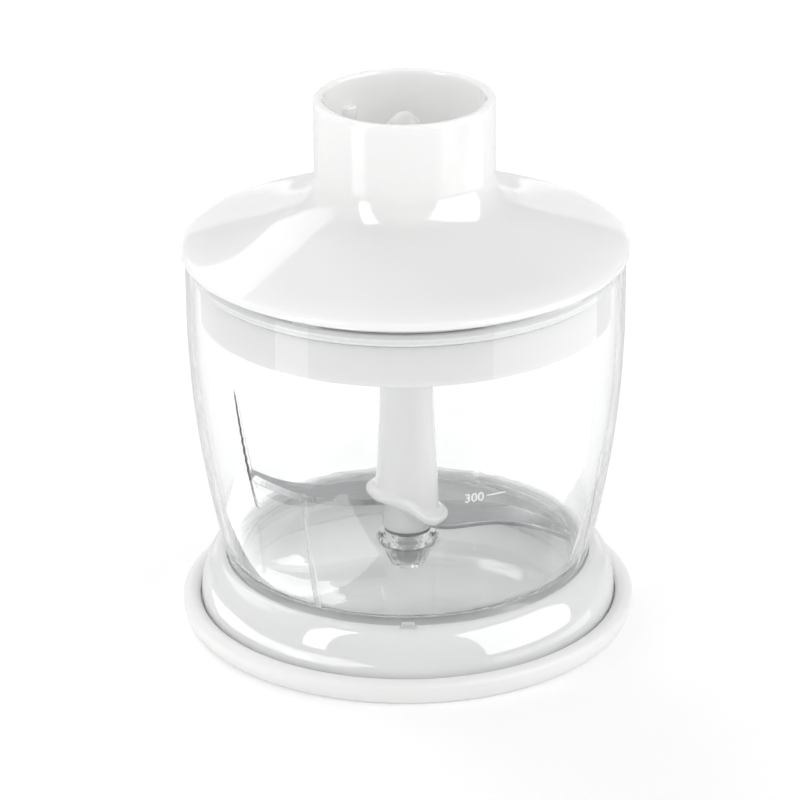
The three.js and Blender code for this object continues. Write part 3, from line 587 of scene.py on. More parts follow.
def brushed_steel(name, shade_of, stretch, gloss=0.3, scratch=0.00001):
    """Rolled and brushed steel. The lines run along the axis whose stretch is smallest."""
    made = Finish(name)
    lines = made.noise(made.place(stretch), 1.0, 5, 0.7)
    stain = made.noise(made.place(), 90, 3)
    shader = made.surface(
        Base_Color=made.blend(
            lines.stepped(0.25, 0.75) * 0.7 + stain * 0.3, lighter(shade_of, 0.8), lighter(shade_of, 1.22)
        ),
        Metallic=1.0,
        Roughness=gloss * (0.75 + 0.5 * lines),
        Normal=made.bump(lines, scratch, 0.7),
    )
    return made.done(shader)


def turned_metal(name, shade_of, gloss=0.22, line_scale=4000):
    """Metal turned on a lathe, with fine rings along Z."""
    made = Finish(name)
    rings = made.noise(made.place((0, 0, 1)), line_scale, 3, 0.6)
    stain = made.noise(made.place(), 200, 3)
    shader = made.surface(
        Base_Color=made.blend(stain, lighter(shade_of, 0.88), lighter(shade_of, 1.1)),
        Metallic=1.0,
        Roughness=gloss * (0.8 + 0.5 * rings),
        Normal=made.bump(rings, 0.000006, 0.5),
    )
    return made.done(shader)


# ---- Geometry node trees ----
def node_tree(name, numbers):
    """A geometry tree with a geometry and a material input, and named numbers: {name: (kind, default)}."""
    tree = bpy.data.node_groups.new(name, "GeometryNodeTree")
    face = tree.interface
    face.new_socket("Geometry", in_out="INPUT", socket_type="NodeSocketGeometry")
    for label, (kind, default) in numbers.items():
        socket = face.new_socket(label, in_out="INPUT", socket_type=kind)
        if default is not None:
            socket.default_value = default
    face.new_socket("Material", in_out="INPUT", socket_type="NodeSocketMaterial")
    face.new_socket("Geometry", in_out="OUTPUT", socket_type="NodeSocketGeometry")
    return tree, tree.nodes.new("NodeGroupInput"), tree.nodes.new("NodeGroupOutput")


def wire(tree, kind, settings=None, links=None):
    """Adds a geometry node with its settings, and links or values for its inputs."""
    node = tree.nodes.new(kind)
    for key, value in (settings or {}).items():
        setattr(node, key, value)
    for key, value in (links or {}).items():
        if isinstance(value, bpy.types.NodeSocket):
            tree.links.new(value, node.inputs[key])
        else:
            node.inputs[key].default_value = value
    return node


def finish_tree(tree, source, ends, geometry):
    """Ends a tree with real geometry in one material."""
    real = wire(tree, "GeometryNodeRealizeInstances", links={"Geometry": geometry})
    painted = wire(
        tree,
        "GeometryNodeSetMaterial",
        links={"Geometry": real.outputs[0], "Material": source.outputs["Material"]},
    )
    tree.links.new(painted.outputs[0], ends.inputs[0])


def apply_tree(made, tree, values):
    """Runs a tree on an object and keeps the plain mesh that it makes."""
    modifier = made.modifiers.new(tree.name, "NODES")
    modifier.node_group = tree
    for item in tree.interface.items_tree:
        if item.in_out == "INPUT" and item.name in values:
            modifier[item.identifier] = values[item.name]
    return plain(made)


def ring_tree():
    """Sweeps a profile, drawn in X and Y, round a circle."""
    tree, source, ends = node_tree(
        "Swept ring", {"Radius": ("NodeSocketFloat", 0.05), "Steps": ("NodeSocketInt", ROUND)}
    )
    path = wire(
        tree,
        "GeometryNodeCurvePrimitiveCircle",
        {"mode": "RADIUS"},
        {"Resolution": source.outputs["Steps"], "Radius": source.outputs["Radius"]},
    )
    outline = wire(tree, "GeometryNodeMeshToCurve", links={"Mesh": source.outputs["Geometry"]})
    swept = wire(
        tree, "GeometryNodeCurveToMesh", links={"Curve": path.outputs[0], "Profile Curve": outline.outputs[0]}
    )
    finish_tree(tree, source, ends, swept.outputs[0])
    return tree


def sweep(name, outline, radius):
    """A ring made by sweeping a closed [radius, height] outline round Z."""
    mesh = bmesh.new()
    points = [mesh.verts.new((p.x - radius, -p.y, 0)) for p in braced(outline)]
    for a, b in zip(points, points[1:] + points[:1]):
        mesh.edges.new((a, b))
    made = to_object(name, mesh)
    tree = bpy.data.node_groups.get("Swept ring") or ring_tree()
    apply_tree(made, tree, {"Radius": radius, "Steps": ROUND})
    mesh = bmesh.new()
    mesh.from_mesh(made.data)
    bmesh.ops.remove_doubles(mesh, verts=mesh.verts, dist=0.001 * MM)
    bmesh.ops.recalc_face_normals(mesh, faces=mesh.faces)
    mesh.to_mesh(made.data)
    mesh.free()
    return made


def rib_tree():
    """Joins a rib to a bowl at each point of a guide, turned so that it faces the axis."""
    tree, source, ends = node_tree(
        "Ribbed bowl", {"Guide": ("NodeSocketObject", None), "Rib": ("NodeSocketObject", None)}
    )
    guide = wire(tree, "GeometryNodeObjectInfo", links={"Object": source.outputs["Guide"]})
    rib = wire(tree, "GeometryNodeObjectInfo", links={"Object": source.outputs["Rib"], "As Instance": False})
    where = wire(tree, "GeometryNodeInputPosition")
    turned = wire(tree, "FunctionNodeAlignRotationToVector", {"axis": "X"}, {"Vector": where.outputs[0]})
    placed = wire(
        tree,
        "GeometryNodeInstanceOnPoints",
        links={
            "Points": guide.outputs["Geometry"],
            "Instance": rib.outputs["Geometry"],
            "Rotation": turned.outputs[0],
        },
    )
    real = wire(tree, "GeometryNodeRealizeInstances", links={"Geometry": placed.outputs[0]})
    union = wire(tree, "GeometryNodeMeshBoolean", {"operation": "UNION", "solver": "EXACT"})
    tree.links.new(source.outputs["Geometry"], union.inputs["Mesh 2"])
    tree.links.new(real.outputs[0], union.inputs["Mesh 2"])
    finish_tree(tree, source, ends, union.outputs[0])
    return tree


def screw_tree():
    """Places a screw at even steps round a circle."""
    tree, source, ends = node_tree(
        "Ring of screws",
        {
            "Count": ("NodeSocketInt", 4),
            "Ring Radius": ("NodeSocketFloat", 0.038),
            "First Angle": ("NodeSocketFloat", 0.0),
        },
    )
    circle = wire(
        tree,
        "GeometryNodeMeshCircle",
        {"fill_type": "NONE"},
        {"Vertices": source.outputs["Count"], "Radius": source.outputs["Ring Radius"]},
    )
    spin = wire(tree, "ShaderNodeCombineXYZ", links={"Z": source.outputs["First Angle"]})
    turned = wire(
        tree, "GeometryNodeTransform", links={"Geometry": circle.outputs["Mesh"], "Rotation": spin.outputs[0]}
    )
    index = wire(tree, "GeometryNodeInputIndex")
    uneven = wire(tree, "ShaderNodeMath", {"operation": "MULTIPLY"}, {0: index.outputs[0], 1: 0.83})
    twist = wire(tree, "ShaderNodeCombineXYZ", links={"Z": uneven.outputs[0]})
    placed = wire(
        tree,
        "GeometryNodeInstanceOnPoints",
        links={
            "Points": turned.outputs[0],
            "Instance": source.outputs["Geometry"],
            "Rotation": twist.outputs[0],
        },
    )
    finish_tree(tree, source, ends, placed.outputs[0])
    return tree


# ---- Base ----
def make_foot_ring(look):
    """The soft ring that the base stands in."""
    inner = FLANGE_R - 2.2 * MM + 0.04 * MM
    groove_low = TABLE_RECESS - 0.3 * MM
    groove_high = TABLE_RECESS + FLANGE_T + 0.3 * MM
    pad_out = FOOT_R - 1.4 * MM
    pad_in = pad_out - look.pad_width
    top = look.shoulder_foot
    outline = rounded(
        [
            (pad_in, 0, 0.4 * MM),
            (pad_out, 0, 1.2 * MM),
            (FOOT_R, 2.6 * MM, 2 * MM),
            (FOOT_R - 0.05 * MM, top + 0.3 * MM, 2.2 * MM),
            (FOOT_R - 2.2 * MM, top + 1.25 * MM, 1.6 * MM),
            (inner + 0.9 * MM, top + 0.75 * MM, 0.8 * MM),
            (inner, top - 0.2 * MM, 0.3 * MM),
            (inner, groove_high),
            (FLANGE_R + 0.3 * MM, groove_high),
            (FLANGE_R + 0.3 * MM, groove_low),
            (pad_in, groove_low, 0.4 * MM),
        ],
        steps=8,
    )
    made = sweep("foot_ring_soft", outline, FOOT_R)
    finish = soft_plastic("soft_ring", look.ring_colour)
    return settle(made, "base", "soft_ring", finish, "foot_ring")


def make_base_body(look, bowl):
    """The glossy shell: floor, flange, rounded shoulder and the collar that the bowl stands in."""
    wall_r = bowl_outer(bowl, COLLAR_TOP)
    collar_in = wall_r + 0.3 * MM
    shoulder_top = collar_in + 1 * MM
    shoulder_foot = shoulder_top + look.shoulder_width
    rise = COLLAR_TOP - look.shoulder_foot
    floor_top = TABLE_RECESS + 2 * MM
    outside = quarter(shoulder_top, look.shoulder_foot, look.shoulder_width, rise, 0, 84, 22)
    inside_width = look.shoulder_width + 1 * MM - look.wall
    inside = quarter(collar_in, look.shoulder_foot, inside_width, rise - look.wall, 90, 0, 14)
    profile = [
        (0, TABLE_RECESS),
        *rounded_run([(FLANGE_R, TABLE_RECESS), (FLANGE_R, TABLE_RECESS + FLANGE_T)], 0.3 * MM),
        (shoulder_foot, TABLE_RECESS + FLANGE_T),
        (shoulder_foot, look.shoulder_foot - 1 * MM),
        *outside,
        *near(shoulder_top, COLLAR_TOP, (0.25, -0.02), (-0.3, 0)),
        *near(collar_in, COLLAR_TOP, (0.3, 0), (0.08, -0.08), (0, -0.3)),
        *inside,
        (shoulder_foot - look.wall, floor_top + 0.6 * MM),
        (shoulder_foot - look.wall - 0.6 * MM, floor_top),
        (0, floor_top),
    ]
    made = to_object("base_shell", turn(bmesh.new(), profile))
    tools = bmesh.new()
    inner = bowl.foot_radius - 1 * MM
    outer = wall_r + KEY_OUT + KEY_GAP
    notch_low = KEY_LOW - KEY_GAP
    notch_high = COLLAR_TOP + 1 * MM
    centre = ((inner + outer) / 2, 0, (notch_low + notch_high) / 2)
    size = (outer - inner, KEY_WIDTH + 2 * KEY_GAP, notch_high - notch_low)
    for angle in KEY_ANGLES:
        block(tools, centre, size, 0.3 * MM, math.radians(angle))
    combine(made, to_object("notch_tool", tools), "DIFFERENCE")
    finish = moulded_plastic("base_plastic", look.body_colour, gloss=0.06, coat=0.6, scatter=1.0)
    return settle(made, "base", "base_plastic", finish, "base_body")


def rounded_run(corners, fillet, steps=4):
    """Corners of an open run, each cut back a little so that it catches the light."""
    points = []
    for i, corner in enumerate(corners):
        here = Vector(corner)
        before = Vector(corners[i - 1]) if i else here - Vector((fillet * 4, 0))
        after = Vector(corners[i + 1]) if i + 1 < len(corners) else here - Vector((fillet * 4, 0))
        start = here + (before - here).normalized() * fillet
        end = here + (after - here).normalized() * fillet
        points += curved(start, here, end, steps)
    return points


# ---- Bowl ----
def bowl_outer(bowl, z):
    """Outside radius: a straight foot, a curve that opens out and a straight rim."""
    curve_z = BOWL_Z + bowl.foot_height
    straight_z = RIM_Z - bowl.straight_height
    share = clamp01((z - curve_z) / (straight_z - curve_z))
    return RIM_R - (RIM_R - bowl.foot_radius) * (1 - share) ** 2


def bowl_inner(bowl, z):
    return bowl_outer(bowl, z) - bowl.wall


def floor_top(bowl, r):
    share = r / bowl_inner(bowl, FLOOR_EDGE_Z)
    return FLOOR_EDGE_Z + bowl.floor_rise * (1 - share**2)


def bowl_profile(bowl):
    foot_in = bowl.foot_radius - bowl.wall
    straight_z = RIM_Z - bowl.straight_height
    curve_z = BOWL_Z + bowl.foot_height
    collar_r = BORE_R + 4.7 * MM
    collar_z = FLOOR_EDGE_Z + bowl.floor_rise + 1.4 * MM
    fillet_r = bowl_inner(bowl, FLOOR_EDGE_Z) - bowl.fillet
    under = floor_top(bowl, 7.3 * MM) - bowl.wall
    return [
        *near(0, BOSS_Z, (0, 0), (3.2, 0), (4.1, 0.15), (4.6, 0.7), (4.95, 1.3), (5.3, 2)),
        *near(0, BOSS_Z, (5.7, 2.9), (6.2, 4), (6.6, 5)),
        *near(0, under, (6.9, -1.2), (7.4, -0.4), (8.4, -0.05)),
        *[(r, floor_top(bowl, r) - bowl.wall) for r in even(10 * MM, foot_in - 1.6 * MM, 12)],
        *near(foot_in, floor_top(bowl, foot_in) - bowl.wall, (-0.5, -0.25), (0, -1.2)),
        *near(foot_in, BOWL_Z, (0, 0.4), (0.4, 0)),
        *near(bowl.foot_radius, BOWL_Z, (-0.5, 0), (0, 0.5)),
        *[(bowl_outer(bowl, z), z) for z in even(BOWL_Z + 4 * MM, curve_z, 2)],
        *[(bowl_outer(bowl, z), z) for z in even(curve_z, straight_z, 26)[1:]],
        *near(RIM_R, RIM_Z, (0, -7), (0, -0.7), (-0.2, -0.2), (-0.7, 0)),
        *near(RIM_R - bowl.wall, RIM_Z, (0.5, 0), (0.1, -0.15), (0, -0.6)),
        *[(bowl_inner(bowl, z), z) for z in even(straight_z, FLOOR_EDGE_Z + bowl.fillet + 1 * MM, 26)],
        *fillet_points(bowl, fillet_r),
        *[(r, floor_top(bowl, r)) for r in even(fillet_r - 1 * MM, collar_r + 0.6 * MM, 14)],
        (collar_r + 0.1 * MM, floor_top(bowl, 0) + 0.25 * MM),
        *near(collar_r, collar_z, (0, -0.4), (-0.4, 0)),
        *near(PIN_R, collar_z, (0.5, 0), (0.3, -0.2)),
        (PIN_R + 0.3 * MM, BOSS_FLOOR_Z),
        (0, BOSS_FLOOR_Z),
    ]


def fillet_points(bowl, fillet_r):
    """The curve from the wall to the floor, inside."""
    start = Vector((bowl_inner(bowl, FLOOR_EDGE_Z + bowl.fillet), FLOOR_EDGE_Z + bowl.fillet))
    corner = Vector((bowl_inner(bowl, FLOOR_EDGE_Z), FLOOR_EDGE_Z))
    end = Vector((fillet_r, floor_top(bowl, fillet_r)))
    return curved(start, corner, end, 10)


def make_rib_shape(bowl):
    """One rib at angle 0, measured from the guide's radius, thinning to nothing at its top."""
    base_z = FLOOR_EDGE_Z - 1.1 * MM
    top_z = FLOOR_EDGE_Z + bowl.rib_height
    sections = []
    for share in even(0, 1, 14):
        z = base_z + (top_z - base_z) * share
        wall = bowl_inner(bowl, z)
        depth = bowl.rib_depth * (1 - share) + 0.6 * MM * share
        depth *= 1 - smooth(share, 0.93, 1.0) * 1.2
        half = (bowl.rib_width * (1 - share) + 0.9 * MM * share) / 2
        inset = [(wall + 1 * MM, -half), (wall + 1 * MM, half), (wall - depth * 0.45, half * 0.86)]
        crest = [(wall - depth * 0.85, half * 0.55), (wall - depth, half * 0.18)]
        mirrored = [(r, -y) for r, y in reversed(inset[2:] + crest)]
        sections.append([Vector((r - RIB_GUIDE_R, y, z)) for r, y in inset + crest + mirrored])
    return to_object("rib_shape", loft(bmesh.new(), sections))


def flute_boss(mesh):
    """Shallow flutes down the outside of the pin's boss."""
    for vertex in mesh.verts:
        x, y, z = vertex.co
        radius = math.hypot(x, y)
        if z < BOSS_Z + 6 * MM and 4.2 * MM < radius < 7.2 * MM:
            share = smooth(z, BOSS_Z + 0.4 * MM, BOSS_Z + 1.6 * MM)
            share *= 1 - smooth(z, BOSS_Z + 4 * MM, BOSS_Z + 5.5 * MM)
            drawn = radius - 0.45 * MM * share * (0.5 + 0.5 * math.cos(10 * math.atan2(y, x)))
            vertex.co = (x / radius * drawn, y / radius * drawn, z)
    return mesh


def make_bowl(bowl):
    """The clear bowl with its foot, floor, pin boss, ribs and keys."""
    made = to_object("bowl_clear", flute_boss(turn(bmesh.new(), bowl_profile(bowl))))
    guide = bmesh.new()
    for angle in RIB_ANGLES:
        turned = math.radians(angle)
        guide.verts.new((RIB_GUIDE_R * math.cos(turned), RIB_GUIDE_R * math.sin(turned), 0))
    guide_object = to_object("rib_guide", guide)
    rib = make_rib_shape(bowl)
    apply_tree(made, rib_tree(), {"Guide": guide_object, "Rib": rib})
    bpy.data.objects.remove(guide_object)
    bpy.data.objects.remove(rib)
    keys = bmesh.new()
    key_in = bowl_inner(bowl, COLLAR_TOP) + 1.1 * MM
    key_out = bowl_outer(bowl, COLLAR_TOP) + KEY_OUT
    centre = ((key_in + key_out) / 2, 0, KEY_LOW + KEY_HEIGHT / 2)
    for angle in KEY_ANGLES:
        block(keys, centre, (key_out - key_in, KEY_WIDTH, KEY_HEIGHT), 0.45 * MM, math.radians(angle))
    combine(made, to_object("key_tool", keys), "UNION")
    finish = clear_plastic("clear_plastic", bowl.tint)
    return settle(made, "bowl", "clear_plastic", finish, "bowl", crease=32)


def make_level_mark(bowl):
    """A raised tick and its number on the outside of the wall."""
    letters = bpy.data.curves.new("level_number", "FONT")
    letters.body = "300"
    letters.size = 3.6 * MM
    letters.extrude = MARK_RELIEF
    letters.offset = 0.02 * MM
    letters.align_x = "RIGHT"
    text = bpy.data.objects.new("level_number", letters)
    bpy.context.scene.collection.objects.link(text)
    plainer = bpy.data.meshes.new_from_object(text)
    bpy.data.objects.remove(text)
    mesh = bmesh.new()
    mesh.from_mesh(plainer)
    bmesh.ops.remove_doubles(mesh, verts=mesh.verts, dist=0.002 * MM)
    tick = [(0.8, 1.15), (6.2, 1.15), (6.2, 1.45), (0.8, 1.45)]
    low_face = [mesh.verts.new((x * MM, y * MM, -MARK_RELIEF)) for x, y in tick]
    high_face = [mesh.verts.new((x * MM, y * MM, MARK_RELIEF)) for x, y in tick]
    mesh.faces.new(low_face[::-1])
    mesh.faces.new(high_face)
    bridge(mesh, low_face, high_face, 4)
    bmesh.ops.subdivide_edges(mesh, edges=[e for e in mesh.edges if e.calc_length() > 2 * MM], cuts=6)
    middle = math.radians(292)
    for vertex in mesh.verts:
        z = bowl.mark_height + vertex.co.y - 1.3 * MM
        r = bowl_outer(bowl, z) - 0.02 * MM + vertex.co.z
        angle = middle + (vertex.co.x - 1.5 * MM) / r
        vertex.co = (r * math.cos(angle), r * math.sin(angle), z)
    made = to_object("level_mark", mesh)
    finish = moulded_plastic("mark_white", (0.86, 0.86, 0.86), gloss=0.3)
    made.data.materials.append(finish)
    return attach(made, "bowl")


# ---- Pin and blade unit ----
def make_pin():
    """The steel pin that the blade unit turns on."""
    profile = [
        (0, PIN_LOW),
        (PIN_R - 0.3 * MM, PIN_LOW),
        (PIN_R, PIN_LOW + 0.3 * MM),
        *[(PIN_R, z) for z in even(PIN_LOW + 8 * MM, PIN_TOP - 2 * MM, 3)],
        *near(PIN_R, PIN_TOP, (0, -1.6), (-0.3, -0.9), (-1.1, -0.1), (-1.4, 0)),
        (0, PIN_TOP),
    ]
    made = to_object("bowl_pin_turned", turn(bmesh.new(), profile, ROUND_SMALL))
    finish = turned_metal("pin_steel", (0.56, 0.56, 0.57))
    return settle(made, "bowl", "pin_steel", finish, "bowl_pin")


def make_washer():
    """The slippery washer under the blade unit."""
    base, top = low("thrust_washer").z, high("thrust_washer").z
    outer = high("thrust_washer").x
    soft = 0.18 * MM
    corners = [
        (BORE_R, base, soft),
        (outer, base, soft * 1.5),
        (outer, top, soft * 1.5),
        (BORE_R, top, soft),
    ]
    profile = rounded(corners, steps=4)
    made = to_object("thrust_washer_turned", turn(bmesh.new(), profile, ROUND_SMALL))
    finish = moulded_plastic("bearing_plastic", (0.16, 0.165, 0.17), gloss=0.42, grain=0.000008)
    return settle(made, "washer", "bearing_plastic", finish, "thrust_washer")


def lip_climb(look, angle):
    """Height of the lip above its mean, by angle round the hub."""
    share = math.tanh(2.2 * math.cos(angle - math.radians(17))) / math.tanh(2.2)
    return -look.lip_swing * share


def slope_lip(look, mesh):
    """Slopes the lip and draws it in between its two ears."""
    top = LIP_Z + look.lip_thickness
    for vertex in mesh.verts:
        x, y, z = vertex.co
        radius = math.hypot(x, y)
        if radius < BUSH_R + 0.4 * MM:
            continue
        angle = math.atan2(y, x)
        below = smooth(z, HUB_Z, LIP_Z - 0.5 * MM)
        above = 1 - smooth(z, top, top + 2.5 * look.lip_swing)
        z += lip_climb(look, angle) * below * above
        ear = math.cos(angle) ** 2
        if radius > look.neck_radius:
            neck = look.neck_radius
            reach = look.lip_flat_radius + (look.lip_radius - look.lip_flat_radius) * ear - neck
            drawn = neck + reach * (radius - neck) / (look.lip_radius - neck)
            x, y = x / radius * drawn, y / radius * drawn
        vertex.co = (x, y, z)
    return mesh


def make_shaft(look):
    """The moulded hub with its sloping lip, the tapered shaft and the hexagonal drive end."""
    thick = look.lip_thickness
    shaft_top = HEX_TOP - 8.4 * MM
    taper_top = HUB_Z + 36 * MM
    bush_top = BUSH_TOP + 0.3 * MM
    bush_hole = BUSH_R + 0.3 * MM
    neck, lip = look.neck_radius, look.lip_radius
    lip_outline = [
        (7.0 * MM, HUB_Z + 2 * MM),
        *near(0, LIP_Z, (7.1, -1.4), (7.3, -0.6), (7.9, -0.1)),
        (neck + 0.4 * MM, LIP_Z + 0.1 * MM),
        (lip - 0.9 * MM, LIP_Z + 0.3 * MM),
        (lip - 0.25 * MM, LIP_Z + 0.2 * thick),
        (lip, LIP_Z + 0.42 * thick),
        (lip - 0.2 * MM, LIP_Z + 0.62 * thick),
        (lip - 0.9 * MM, LIP_Z + 0.76 * thick),
        (neck + 0.8 * MM, LIP_Z + 0.88 * thick),
        (neck + 0.25 * MM, LIP_Z + 1.05 * thick),
        (neck + 0.02 * MM, LIP_Z + 1.35 * thick),
    ]
    cone_foot = Vector((neck - 0.1 * MM, LIP_Z + 2 * thick))
    cone_top = Vector((look.shaft_radius, taper_top))
    profile = [
        (bush_hole, HUB_Z),
        *near(0, HUB_Z, (6.7, 0), (6.95, 0.25), (7.0, 0.8)),
        *spline([*lip_outline, cone_foot], 44),
        *[cone_foot.lerp(cone_top, t) for t in even(0, 1, 12)[1:]],
        (look.shaft_radius, taper_top + 1 * MM),
        *[(look.shaft_radius, z) for z in even(taper_top + 8 * MM, shaft_top - 1 * MM, 4)],
        *near(look.shaft_radius, shaft_top, (-0.15, -0.2), (-0.5, 0)),
        (0, shaft_top),
        (0, PIN_TOP + 0.4 * MM),
        (BORE_R, PIN_TOP + 0.4 * MM),
        (BORE_R, bush_top),
        (bush_hole, bush_top),
    ]
    made = to_object("blade_shaft_moulded", slope_lip(look, turn(bmesh.new(), profile, ROUND_SMALL)))
    combine(made, make_hex_drive(shaft_top), "UNION")
    finish = moulded_plastic("shaft_white", look.plastic_colour, gloss=0.22, coat=0.1, scatter=1.0)
    return settle(made, "blade", "white_plastic", finish, "blade_shaft")


def make_hex_drive(shaft_top):
    """The hexagonal end, chamfered so that it finds the socket in the lid."""
    radius = 4.8 * MM / math.cos(math.pi / 6)
    levels = [
        (radius, shaft_top - 1 * MM),
        *near(radius, HEX_TOP, (0, -0.9), (-0.25, -0.35), (-0.9, 0)),
    ]
    sections = []
    for r, z in levels:
        corners = [(r * math.cos(a), r * math.sin(a)) for a in even(0, math.tau, 6)[:-1]]
        section = []
        for i, here in enumerate(corners):
            before, after = Vector(corners[i - 1]), Vector(corners[(i + 1) % 6])
            here = Vector(here)
            for step in (before, after):
                eased = here + (step - here) * 0.06
                section.append(Vector((eased.x, eased.y, z)))
        sections.append(section)
    return to_object("hex_tool", loft(bmesh.new(), sections))


WING_LEAD = ((0.396, 0.159), (0.63, 0.086), (0.804, -0.062), (0.92, -0.194), (0.95, -0.312))
WING_TRAIL = ((0.245, -0.15), (0.512, -0.09), (0.746, -0.155), (0.933, -0.309))
WING_ROOT = ((5.9 * MM, 7 * MM), (5.9 * MM, -5.6 * MM))


def wing_mesh(look, reach, middle_z, pitch, turned):
    """A curved steel wing. Its leading edge is ground to a thin edge, its trailing edge is eased."""
    lead = spline([WING_ROOT[0], *[(x * reach, y * reach) for x, y in WING_LEAD]], 48)
    trail = spline([WING_ROOT[1], *[(x * reach, y * reach) for x, y in WING_TRAIL]], 48)
    half = look.wing_thickness / 2
    edge = 0.22 * MM
    mesh = bmesh.new()
    sections = []
    for front, back in zip(lead, trail):
        width = (front - back).length
        grind = min(look.grind_width / width, 0.42) if width > 0 else 0.42
        ease = min(0.25 * MM / width, 0.2) if width > 0 else 0.2
        across = [
            (0, -half),
            (0, -half + edge),
            (grind, half),
            (grind + 0.02, half),
            (0.5, half),
            (1 - ease, half),
            (1, half - 0.25 * MM),
            (1, -half),
            (0.5, -half),
        ]
        section = []
        for share, height in across:
            at = front.lerp(back, share)
            z = middle_z + pitch / 2 - pitch * share + height
            section.append(Vector((at.x * turned, at.y * turned, z)))
        sections.append(section)
    loft(mesh, sections)
    return mesh


def make_wing(look, node, middle_z, pitch, turned, reach):
    return to_object(f"{node}_ground", wing_mesh(look, reach, middle_z, pitch, turned), crease=18)


def finish_wing(look, made, node, low_edge_z, steel, ground):
    """Brushed steel, with the ground bevel in a finish of its own: a finer grain across the edge and more
    polish, and a lighter colour that is a painted highlight.
    """
    settle(made, "blade", "blade_steel", steel, node, crease=18)
    made.data.materials.append(ground)
    half = look.wing_thickness / 2
    for face in made.data.polygons:
        if 0.35 < face.normal.z < 0.93 and face.center.z > low_edge_z - half + 0.2 * MM:
            face.material_index = 1


# ---- Lid ----
def dome_curve(look, steps):
    """The outside of the dome, from the rim to the foot of the neck."""
    return bezier(
        (LID_R - 0.6 * MM, LID_Z + look.edge_thickness),
        (LID_R - look.dome_spread, LID_Z + look.edge_thickness + look.dome_swell),
        (look.neck_radius, LID_Z + 11.4 * MM),
        (look.neck_radius, LID_Z + 22.4 * MM),
        steps,
    )


def make_lid_cover(look):
    """The gloss cover: rim, dome and the neck that takes the motor handle."""
    ceiling_wall = 2.2 * MM
    pocket_in = 21.5 * MM
    pocket_out = 23.9 * MM
    socket_top = high("input_bushing").z - 1.6 * MM
    socket_low = socket_top - 2.5 * MM
    bush = 6.2 * MM
    neck_in = look.neck_radius - look.neck_wall
    outside = dome_curve(look, 48)
    inside = reversed(moved_in(dome_curve(look, 32), ceiling_wall))
    ceiling = [point for point in inside if point.x > pocket_out + 1 * MM]
    profile = [
        (pocket_in, POCKET_Z),
        (pocket_out, POCKET_Z),
        (pocket_out, ceiling[0].y),
        *ceiling[:-1],
        *near(SKIRT_R, LID_Z, (1, 0.6), (1.3, 0)),
        *near(LID_R, LID_Z, (-0.7, 0), (-0.2, 0.2), (0, 0.7), (0, 1.1), (-0.15, 1.55)),
        *outside,
        *[(look.neck_radius, z) for z in even(outside[-1].y + 3 * MM, NECK_TOP - 1.2 * MM, 3)],
        *near(look.neck_radius, NECK_TOP, (0, -0.7), (-0.2, -0.2), (-0.7, 0)),
        *near(neck_in, NECK_TOP, (0.7, 0), (0.2, -0.2), (0, -0.7)),
        *[(neck_in, z) for z in even(NECK_TOP - 4 * MM, socket_top + 1.6 * MM, 4)],
        *near(neck_in, socket_top, (-0.4, 0.4), (-1.5, 0)),
        *[(r, socket_top) for r in even(neck_in - 4 * MM, bush + 1 * MM, 3)],
        *near(bush, socket_top, (0.2, 0), (0, -0.2)),
        (bush, socket_low),
        (pocket_in, socket_low),
    ]
    made = to_object("lid_cover_moulded", turn(bmesh.new(), profile))
    lugs = bmesh.new()
    centre = (neck_in - 0.2 * MM, 0, 137.5 * MM)
    for angle in LUG_ANGLES:
        block(lugs, centre, (2.6 * MM, 4 * MM, 5 * MM), 0.5 * MM, math.radians(angle))
    combine(made, to_object("lug_tool", lugs), "UNION")
    finish = moulded_plastic("white_plastic", look.cover_colour, gloss=0.09, coat=0.45, scatter=1.0)
    return settle(made, "lid", "white_plastic", finish, "lid_cover")


def make_underplate(look):
    """The inner plate with its skirt, seal groove and the seat of the gear train."""
    plate_z = LID_Z - 7.6 * MM
    plate_top = plate_z + 2.5 * MM
    inner = SKIRT_R - look.skirt_wall
    seal_top = LID_Z - 2.4 * MM
    groove = SKIRT_R - 0.8 * MM
    hole = 11.6 * MM
    collar_in, collar_out, collar_top = 17 * MM, 21.2 * MM, LID_Z - 0.5 * MM
    profile = rounded(
        [
            (hole, plate_z, 0.4 * MM),
            (inner, plate_z, 1.6 * MM),
            (inner, SKIRT_Z, 0.5 * MM),
            (SKIRT_R, SKIRT_Z, 0.7 * MM),
            (SKIRT_R, seal_top - 3.6 * MM, 0.15 * MM),
            (groove, seal_top - 3.6 * MM),
            (groove, seal_top),
            (SKIRT_R, seal_top, 0.15 * MM),
            (SKIRT_R, SKIRT_TOP, 0.3 * MM),
            (inner, SKIRT_TOP, 0.3 * MM),
            (inner, plate_top, 0.6 * MM),
            (collar_out, plate_top, 0.4 * MM),
            (collar_out, collar_top),
            (collar_in, collar_top),
            (collar_in, plate_top),
            (hole, plate_top, 0.4 * MM),
        ],
        steps=6,
    )
    made = to_object("lid_underplate_moulded", turn(bmesh.new(), profile))
    finish = moulded_plastic("white_inner", look.inner_colour, gloss=0.3, grain=0.000008, scatter=1.0)
    return settle(made, "lid", "white_plastic", finish, "lid_underplate")


def make_seal(look):
    """The two-lipped rubber seal, swept round the skirt."""
    inner = SKIRT_R - 0.5 * MM
    outer = high("lid_seal").x
    bottom, top = low("lid_seal").z, high("lid_seal").z
    third = (top - bottom) * 0.3
    outline = rounded(
        [
            (inner, bottom, 0.1 * MM),
            (SKIRT_R + 0.3 * MM, bottom, 0.2 * MM),
            (outer, bottom + third, 0.35 * MM),
            (SKIRT_R + 0.55 * MM, (bottom + top) / 2, 0.4 * MM),
            (outer, top - third, 0.35 * MM),
            (SKIRT_R + 0.3 * MM, top, 0.2 * MM),
            (inner, top, 0.1 * MM),
        ],
        steps=5,
    )
    made = sweep("lid_seal_rubber", outline, SKIRT_R)
    finish = soft_plastic("seal_rubber", look.seal_colour, 3200)
    return settle(made, "lid", "seal_rubber", finish, "lid_seal")


